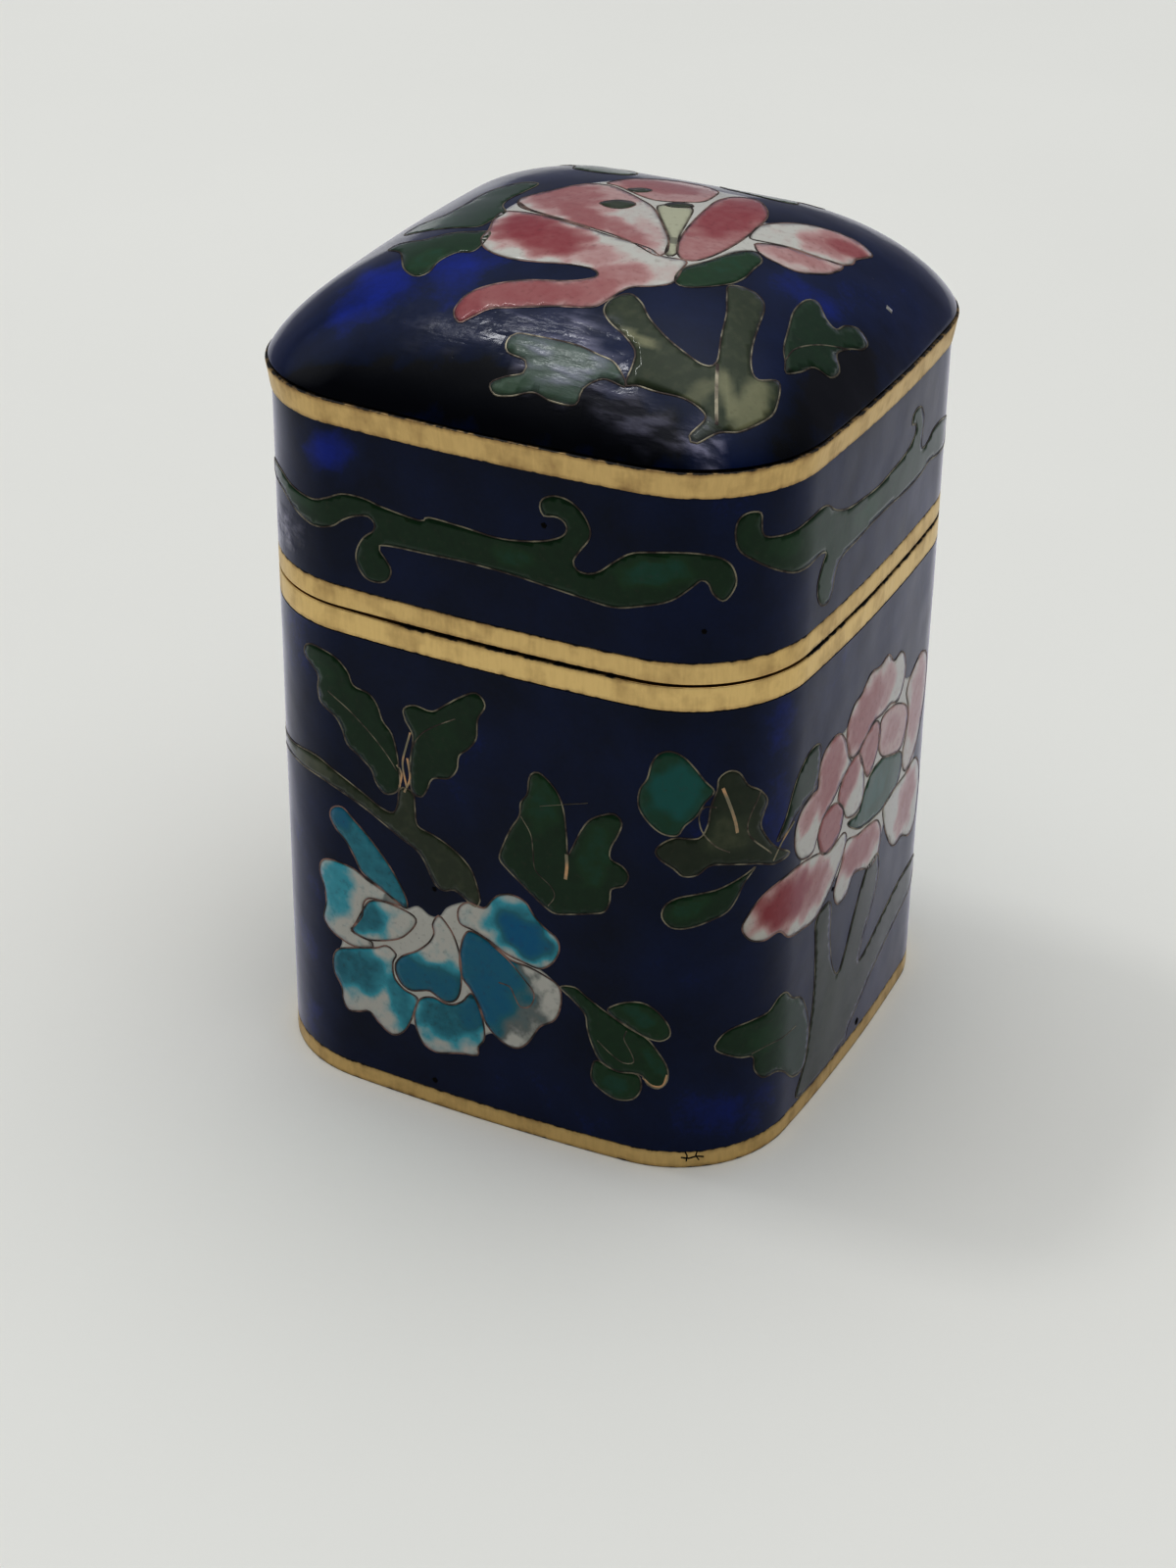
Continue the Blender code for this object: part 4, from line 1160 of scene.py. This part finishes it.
def add_rim(name, low, high, node, wear, proud_bottom=0.0, proud_top=0.0):
    """A gilt strip with softened edges, let into the wall."""
    soft = RIM_SOFTNESS
    turns = [math.radians(angle) for angle in (0, 30, 60, 90)]
    lean = (proud_top - proud_bottom) / (high - low)
    section = [(-RIM_DEPTH, low)]
    for turn in turns:
        section.append((proud_bottom - soft * (1 - math.sin(turn)), low + soft * (1 - math.cos(turn))))
    for height in np.linspace(low + soft, high - soft, 5)[1:-1]:
        section.append((proud_bottom + lean * (height - low), height))
    for turn in turns:
        section.append((proud_top - soft * (1 - math.cos(turn)), high - soft * (1 - math.sin(turn))))
    section += [(-RIM_DEPTH, high), (-RIM_DEPTH, low)]
    piece = raised(name, wall_levels(section), closed=True)
    closed = np.interp(unrolled(piece)[:, 0], SEAM_PLACES, SEAM_CLOSED)
    rim_edge_distance(piece, low, high, closed)
    if low == LID_MOUTH:
        close_seam(piece, closed, low, -SEAM_SHIFT)
    if high == MOUTH:
        close_seam(piece, closed, high, SEAM_SHIFT)
    add_values(piece, "wear", np.full(len(piece.data.vertices), wear))
    finish_piece(piece, "scratched_gilt", "worn_gilt", node)


class JAR_OT_finishes(bpy.types.Operator):
    """Make the enamels and metals"""

    bl_idname = "jar.finishes"
    bl_label = "Finishes"

    def execute(self, context):
        tint = colours()
        cobalt_finish()
        wash_finish("turquoise_petals", (0.05, tint.white), (0.33, tint.turquoise), (0.62, tint.teal),
                    (1.0, tint.deep_turquoise))
        wash_finish("smoky_petals", (0.06, tint.white), (0.22, tint.smoke), (0.55, tint.teal),
                    (1.0, tint.deep_turquoise))
        wash_finish("pink_petals", (0.05, tint.white), (0.30, tint.blush), (0.60, tint.rose),
                    (1.0, tint.crimson))
        wash_finish("leaf_green", (0.0, tint.leaf_dark), (0.5, tint.leaf), (1.0, tint.leaf_teal))
        wash_finish("pale_green", (0.0, tint.leaf), (0.5, tint.leaf_pale), (0.9, tint.cream))
        wash_finish("stem_olive", (0.0, tint.leaf_dark), (0.5, tint.stem), (1.0, tint.olive))
        gilt_finish()
        wire_finish("copper_wire", tint.copper, tint.tarnish, 0.6)
        wire_finish("bare_copper", tint.bare_copper, tint.copper, 1.0)
        wire_finish("petal_wire", tint.petal_wire, tint.tarnish, 0.4)
        pinhole_finish()
        floor_finish()
        return {"FINISHED"}


class JAR_OT_body(bpy.types.Operator):
    """Raise the enamelled body with its floor and its hollow"""

    bl_idname = "jar.body"
    bl_label = "Body"

    def execute(self, context):
        seat = -RIM_DEPTH - SEAT_GAP
        wall = -COLLAR_INSET + SEAT_GAP
        floor = BODY_LOW - wall
        section = [(seat, BODY_LOW), (seat, FOOT_TOP + SEAT_GAP)]
        section += upright(0.0, FOOT_TOP + SEAT_GAP / 4, MOUTH_RIM_LOW - SEAT_GAP / 4)
        section += [(seat, MOUTH_RIM_LOW - SEAT_GAP), (seat, MOUTH), (wall, MOUTH)]
        section += upright(wall, MOUTH - 1 * MM, floor, INNER_STEP)
        piece = raised("body_enamel", wall_levels(section))
        # Painted glow: patches of the body's ground drawn lighter blue.
        add_values(piece, "painted_light_and_shade", blot_strength(unrolled(piece), BODY_PAINTED_GLOW, PAINTED_LIGHT_SOFTNESS))
        finish_piece(piece, "cobalt_enamel", "blue_enamel", "jar_body")
        return {"FINISHED"}


class JAR_OT_lid(bpy.types.Operator):
    """Raise the enamelled lid with its dome and its hollow"""

    bl_idname = "jar.lid"
    bl_label = "Lid"

    def execute(self, context):
        seat = -RIM_DEPTH - SEAT_GAP
        wall = -COLLAR_INSET + SEAT_GAP + LID_PLAY
        edge = SHOULDER + SEAT_GAP
        outer = [self.dome_ring(share) for share in self.dome_shares()]
        section = [(seat, edge), (seat, BAND_HIGH - SEAT_GAP)]
        section += upright(0.0, BAND_HIGH - SEAT_GAP / 4, BAND_LOW + SEAT_GAP / 4)
        section += [(seat, BAND_LOW + SEAT_GAP), (seat, LID_MOUTH), (wall, LID_MOUTH)]
        section += upright(wall, LID_MOUTH + 1 * MM, edge - 0.5 * MM, INNER_STEP)
        inner = [self.inner_ring(share, wall) for share in self.dome_shares()[::-1]]
        piece = raised("lid_enamel", outer + wall_levels(section) + inner)
        points = coordinates(piece)
        above = points[:, 2] > SHOULDER
        flat, round_side = points[:, :2] / MM, unrolled(piece)
        # Painted glow on the dome and the band, with the dome's painted shade taken off it.
        painted_light_and_shade = blot_strength(flat, DOME_PAINTED_GLOW, PAINTED_LIGHT_SOFTNESS)
        painted_light_and_shade -= blot_strength(flat, DOME_SHADE, PAINTED_LIGHT_SOFTNESS)
        side_painted_glow = blot_strength(round_side, BAND_PAINTED_GLOW, PAINTED_LIGHT_SOFTNESS)
        # Scuffs: on the dome they also carry painted sheen, on the band they are real chips.
        scuff_and_painted_sheen, side_scuff = blot_strength(flat, DOME_SCUFFS_AND_PAINTED_SHEEN), blot_strength(round_side, BAND_SCUFFS)
        add_values(piece, "painted_light_and_shade", np.where(above, painted_light_and_shade, side_painted_glow))
        add_values(piece, "scuff_and_painted_sheen", np.where(above, scuff_and_painted_sheen, side_scuff))
        finish_piece(piece, "cobalt_enamel", "blue_enamel", "lid")
        return {"FINISHED"}

    def dome_shares(self):
        """Sizes of the dome's rings, from a small one at the crown to the full outline."""
        return np.sin(np.linspace(CROWN_SHARE, 1, DOME_RINGS) * math.pi / 2)

    def dome_ring(self, share):
        along = round_places()
        ring = on_wall(along, np.zeros_like(along), DOME_OVERHANG)[0][:, :2] * share
        return on_dome(ring[:, 0], ring[:, 1])[0]

    def inner_ring(self, share, wall):
        """The dome's underside, one wall below its top."""
        along = round_places()
        ring = on_wall(along, np.zeros_like(along), wall)[0][:, :2] * share
        start = SHOULDER - INNER_DOME_DROP
        fullness = (1 - share ** sizes().dome_fullness) ** (1 / sizes().dome_crown)
        rise = (CROWN + wall - start) * fullness
        return np.column_stack([ring, np.full(len(ring), start + rise)])


class JAR_OT_rims(bpy.types.Operator):
    """Add the four gilt rims and the collar inside the mouth"""

    bl_idname = "jar.rims"
    bl_label = "Rims"

    def execute(self, context):
        add_rim("foot_rim_gilt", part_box("foot_rim")[0].z, FOOT_TOP, "foot_rim", 0.16)
        add_rim("body_mouth_rim_gilt", MOUTH_RIM_LOW, MOUTH, "body_mouth_rim", 0.0)
        add_rim("lid_mouth_rim_gilt", LID_MOUTH, BAND_LOW, "lid_mouth_rim", 0.12)
        add_rim("lid_shoulder_rim_gilt", BAND_HIGH, SHOULDER, "lid_shoulder_rim", 0.28, 0.1 * MM,
                SHOULDER_PROUD)
        self.add_collar()
        return {"FINISHED"}

    def add_collar(self):
        thickness = 0.6 * MM
        lead = 0.2 * MM
        outer, inner = -COLLAR_INSET, -COLLAR_INSET - thickness
        section = [(inner, COLLAR_LOW), (outer, COLLAR_LOW), (outer, COLLAR_HIGH - lead),
                   (outer - lead, COLLAR_HIGH), (inner, COLLAR_HIGH), (inner, COLLAR_LOW)]
        piece = raised("inner_collar_gilt", wall_levels(section), closed=True)
        rim_edge_distance(piece, COLLAR_LOW, COLLAR_HIGH, 0.0)
        finish_piece(piece, "scratched_gilt", "worn_gilt", "inner_collar")


class JAR_OT_body_ornament(bpy.types.Operator):
    """Lay the peonies, leaves and stems of the body, and their wires"""

    bl_idname = "jar.body_ornament"
    bl_label = "Body ornament"

    def execute(self, context):
        grounds = both_sides(FRONT_FLOWER_GROUND + RIGHT_FLOWER_GROUND)
        blue, pink = both_sides(FRONT_FLOWER), both_sides(RIGHT_FLOWER)
        smoky = both_sides(SMOKY_PETAL)
        leaves = both_sides(FRONT_LEAVES + CORNER_LEAVES + RIGHT_GREENS)
        stems = both_sides(FRONT_STEMS + CORNER_STEMS + RIGHT_STEMS)
        lay_cells("body_peony_grounds", on_wall, grounds, "pink_petals", GROUND_RISE)
        lay_cells("turquoise_peonies", on_wall, blue, "turquoise_petals")
        lay_cells("smoky_petals", on_wall, smoky, "smoky_petals")
        lay_cells("pink_peonies", on_wall, pink, "pink_petals")
        lay_cells("body_leaves", on_wall, leaves, "leaf_green")
        lay_cells("body_stems", on_wall, stems, "stem_olive")
        paths = FRONT_LEAF_LINES + CORNER_LINES
        lay_wires("leaf_wires", on_wall, edges_of(leaves + stems), paths, "copper_wire")
        edges = edges_of(blue + smoky + pink)
        lay_wires("peony_wires", on_wall, edges, FRONT_FLOWER_LINES, "petal_wire")
        lay_wires("bare_wires", on_wall, [], BARE_LINES, "bare_copper")
        holes = [small_hole(*place) for place in PINHOLES]
        lay_cells("pinholes", on_wall, holes, "pinhole_black", 1.5 * sizes().cell_rise)
        lay_wires("foot_rim_cracks", on_wall, [], RIM_CRACKS, "pinhole_black")
        return {"FINISHED"}


class JAR_OT_lid_ornament(bpy.types.Operator):
    """Lay the scrolls round the lid and the peony on its dome, and their wires"""

    bl_idname = "jar.lid_ornament"
    bl_label = "Lid ornament"

    def execute(self, context):
        scrolls = both_sides(BAND_SCROLLS)
        lay_cells("lid_scrolls", on_wall, scrolls, "leaf_green", scuffs_and_painted_sheen=BAND_SCUFFS)
        lay_wires("lid_scroll_wires", on_wall, edges_of(scrolls), [], "copper_wire")
        self.lay_dome("dome_peony_ground", DOME_FLOWER_GROUND, "pink_petals", GROUND_RISE)
        self.lay_dome("dome_peony", DOME_FLOWER, "pink_petals")
        self.lay_dome("dome_leaves", DOME_GREENS, "leaf_green")
        self.lay_dome("dome_pale_cells", DOME_PALE_CELLS, "pale_green")
        self.lay_dome("dome_flower_hearts", DOME_HEARTS, "stem_olive", HEART_RISE)
        self.lay_dome("dome_stems", DOME_STEMS, "stem_olive")
        lay_wires("dome_leaf_wires", on_dome, edges_of(DOME_GREENS + DOME_PALE_CELLS + DOME_STEMS),
                  DOME_LINES, "copper_wire")
        lay_wires("dome_peony_wires", on_dome, edges_of(DOME_FLOWER + DOME_HEARTS), DOME_FLOWER_LINES,
                  "petal_wire")
        return {"FINISHED"}

    def lay_dome(self, name, cells, finish, lift=None):
        lay_cells(name, on_dome, cells, finish, lift, DOME_SCUFFS_AND_PAINTED_SHEEN)


FLOOR_SIZE = 6.0
SKY_TINT = (0.96, 0.98, 1.0, 1.0)
SKY_OVERHEAD = (0.05, 0.08, 0.995)
SKY_DIM_SIDE = (-0.50, -0.86, 0.0)
SKY_PALE_PATCH = (-0.81, -0.14, 0.57)
LAMP_PLACE = (-0.37, -0.02, 0.90)
LAMP_SIZE = 0.11
LAMP_POWER = 0.64  # watts
CAMERA_ANGLES = (26.259, 30.357, 0.769)  # azimuth, elevation and roll in degrees
JAR_FROM_CAMERA = (1.554, 15.961, 255.979)  # millimetres to the right, down and away
FOCAL_LENGTH = 3243.1  # pixels of a frame 1600 pixels high
FRAME_HEIGHT = 1600
SENSOR_WIDTH = 36


class JAR_OT_stage(bpy.types.Operator):
    """Set up the floor, the lights and the camera"""

    bl_idname = "jar.stage"
    bl_label = "Stage"

    def execute(self, context):
        self.add_floor()
        self.add_sky(context)
        self.add_lamp()
        self.add_camera(context)
        context.scene.view_settings.view_transform = "Standard"
        context.scene.view_settings.look = "High Contrast"
        return {"FINISHED"}

    def add_floor(self):
        deselect_all()
        bpy.ops.mesh.primitive_plane_add(size=FLOOR_SIZE)
        floor = bpy.context.object
        floor.name = "floor"
        floor.data.materials.append(bpy.data.materials["pale_floor"])

    def add_sky(self, context):
        """Soft light, strongest overhead, dimmest behind the camera's left, with a pale patch."""
        world = bpy.data.worlds.new("studio")
        context.scene.world = world
        world.use_nodes = True
        sky = Nodes(world.node_tree)
        overhead = sky.maths("MAXIMUM", sky.facing(SKY_OVERHEAD), 0.0)
        light = sky.levels(sky.maths("POWER", overhead, 5.0), 0.0, 1.0, 0.165, 1.80)
        dimming = sky.levels(sky.facing(SKY_DIM_SIDE), 0.55, 0.80, 1.0, 0.35)
        light = sky.maths("MULTIPLY", light, dimming)
        patch = sky.levels(sky.facing(SKY_PALE_PATCH), 0.90, 1.0, 0.0, 0.55)
        light = sky.maths("ADD", light, patch)
        background = world.node_tree.nodes["Background"].inputs
        background["Color"].default_value = SKY_TINT
        world.node_tree.links.new(light, background["Strength"])

    def add_lamp(self):
        """A soft lamp above and to the left, whose glints show on the dome."""
        place = Vector(LAMP_PLACE)
        bpy.ops.object.light_add(type="AREA", location=place)
        lamp = bpy.context.object
        lamp.name = "lamp"
        lamp.data.size = LAMP_SIZE
        lamp.data.energy = LAMP_POWER
        aim = Vector((0, 0, CROWN / 2)) - place
        lamp.rotation_euler = aim.to_track_quat("-Z", "Y").to_euler()

    def add_camera(self, context):
        azimuth, elevation, roll = (math.radians(angle) for angle in CAMERA_ANGLES)
        right, down, away = (distance * MM for distance in JAR_FROM_CAMERA)
        turned = (Matrix.Rotation(azimuth, 3, "Z") @ Matrix.Rotation(math.pi / 2 - elevation, 3, "X")
                  @ Matrix.Rotation(roll, 3, "Z"))
        place = turned @ Vector((-right, down, away))
        bpy.ops.object.camera_add(location=place, rotation=turned.to_euler())
        camera = bpy.context.object
        camera.name = "camera"
        camera.data.lens = FOCAL_LENGTH / FRAME_HEIGHT * SENSOR_WIDTH
        camera.data.sensor_width = SENSOR_WIDTH
        camera.data.clip_start = 0.01
        context.scene.camera = camera


STEPS = ("finishes", "body", "lid", "rims", "body_ornament", "lid_ornament", "stage")


class JAR_PT_panel(bpy.types.Panel):
    """The steps that make the jar"""

    bl_idname = "JAR_PT_panel"
    bl_label = "Cloisonne Jar"
    bl_space_type = "VIEW_3D"
    bl_region_type = "UI"
    bl_category = "Jar"

    def draw(self, context):
        for step in STEPS:
            self.layout.operator("jar." + step)
        for group in (context.scene.jar_sizes, context.scene.jar_colours):
            for name in group.__annotations__:
                self.layout.prop(group, name)


CLASSES = (
    JarSizes, JarColours, JAR_OT_finishes, JAR_OT_body, JAR_OT_lid, JAR_OT_rims,
    JAR_OT_body_ornament, JAR_OT_lid_ornament, JAR_OT_stage, JAR_PT_panel,
)


def register():
    for each in CLASSES:
        bpy.utils.register_class(each)
    bpy.types.Scene.jar_sizes = bpy.props.PointerProperty(type=JarSizes)
    bpy.types.Scene.jar_colours = bpy.props.PointerProperty(type=JarColours)


def unregister():
    del bpy.types.Scene.jar_colours
    del bpy.types.Scene.jar_sizes
    for each in reversed(CLASSES):
        bpy.utils.unregister_class(each)


def main():
    register()
    for step in STEPS:
        getattr(bpy.ops.jar, step)()


if __name__ == "__main__":
    main()
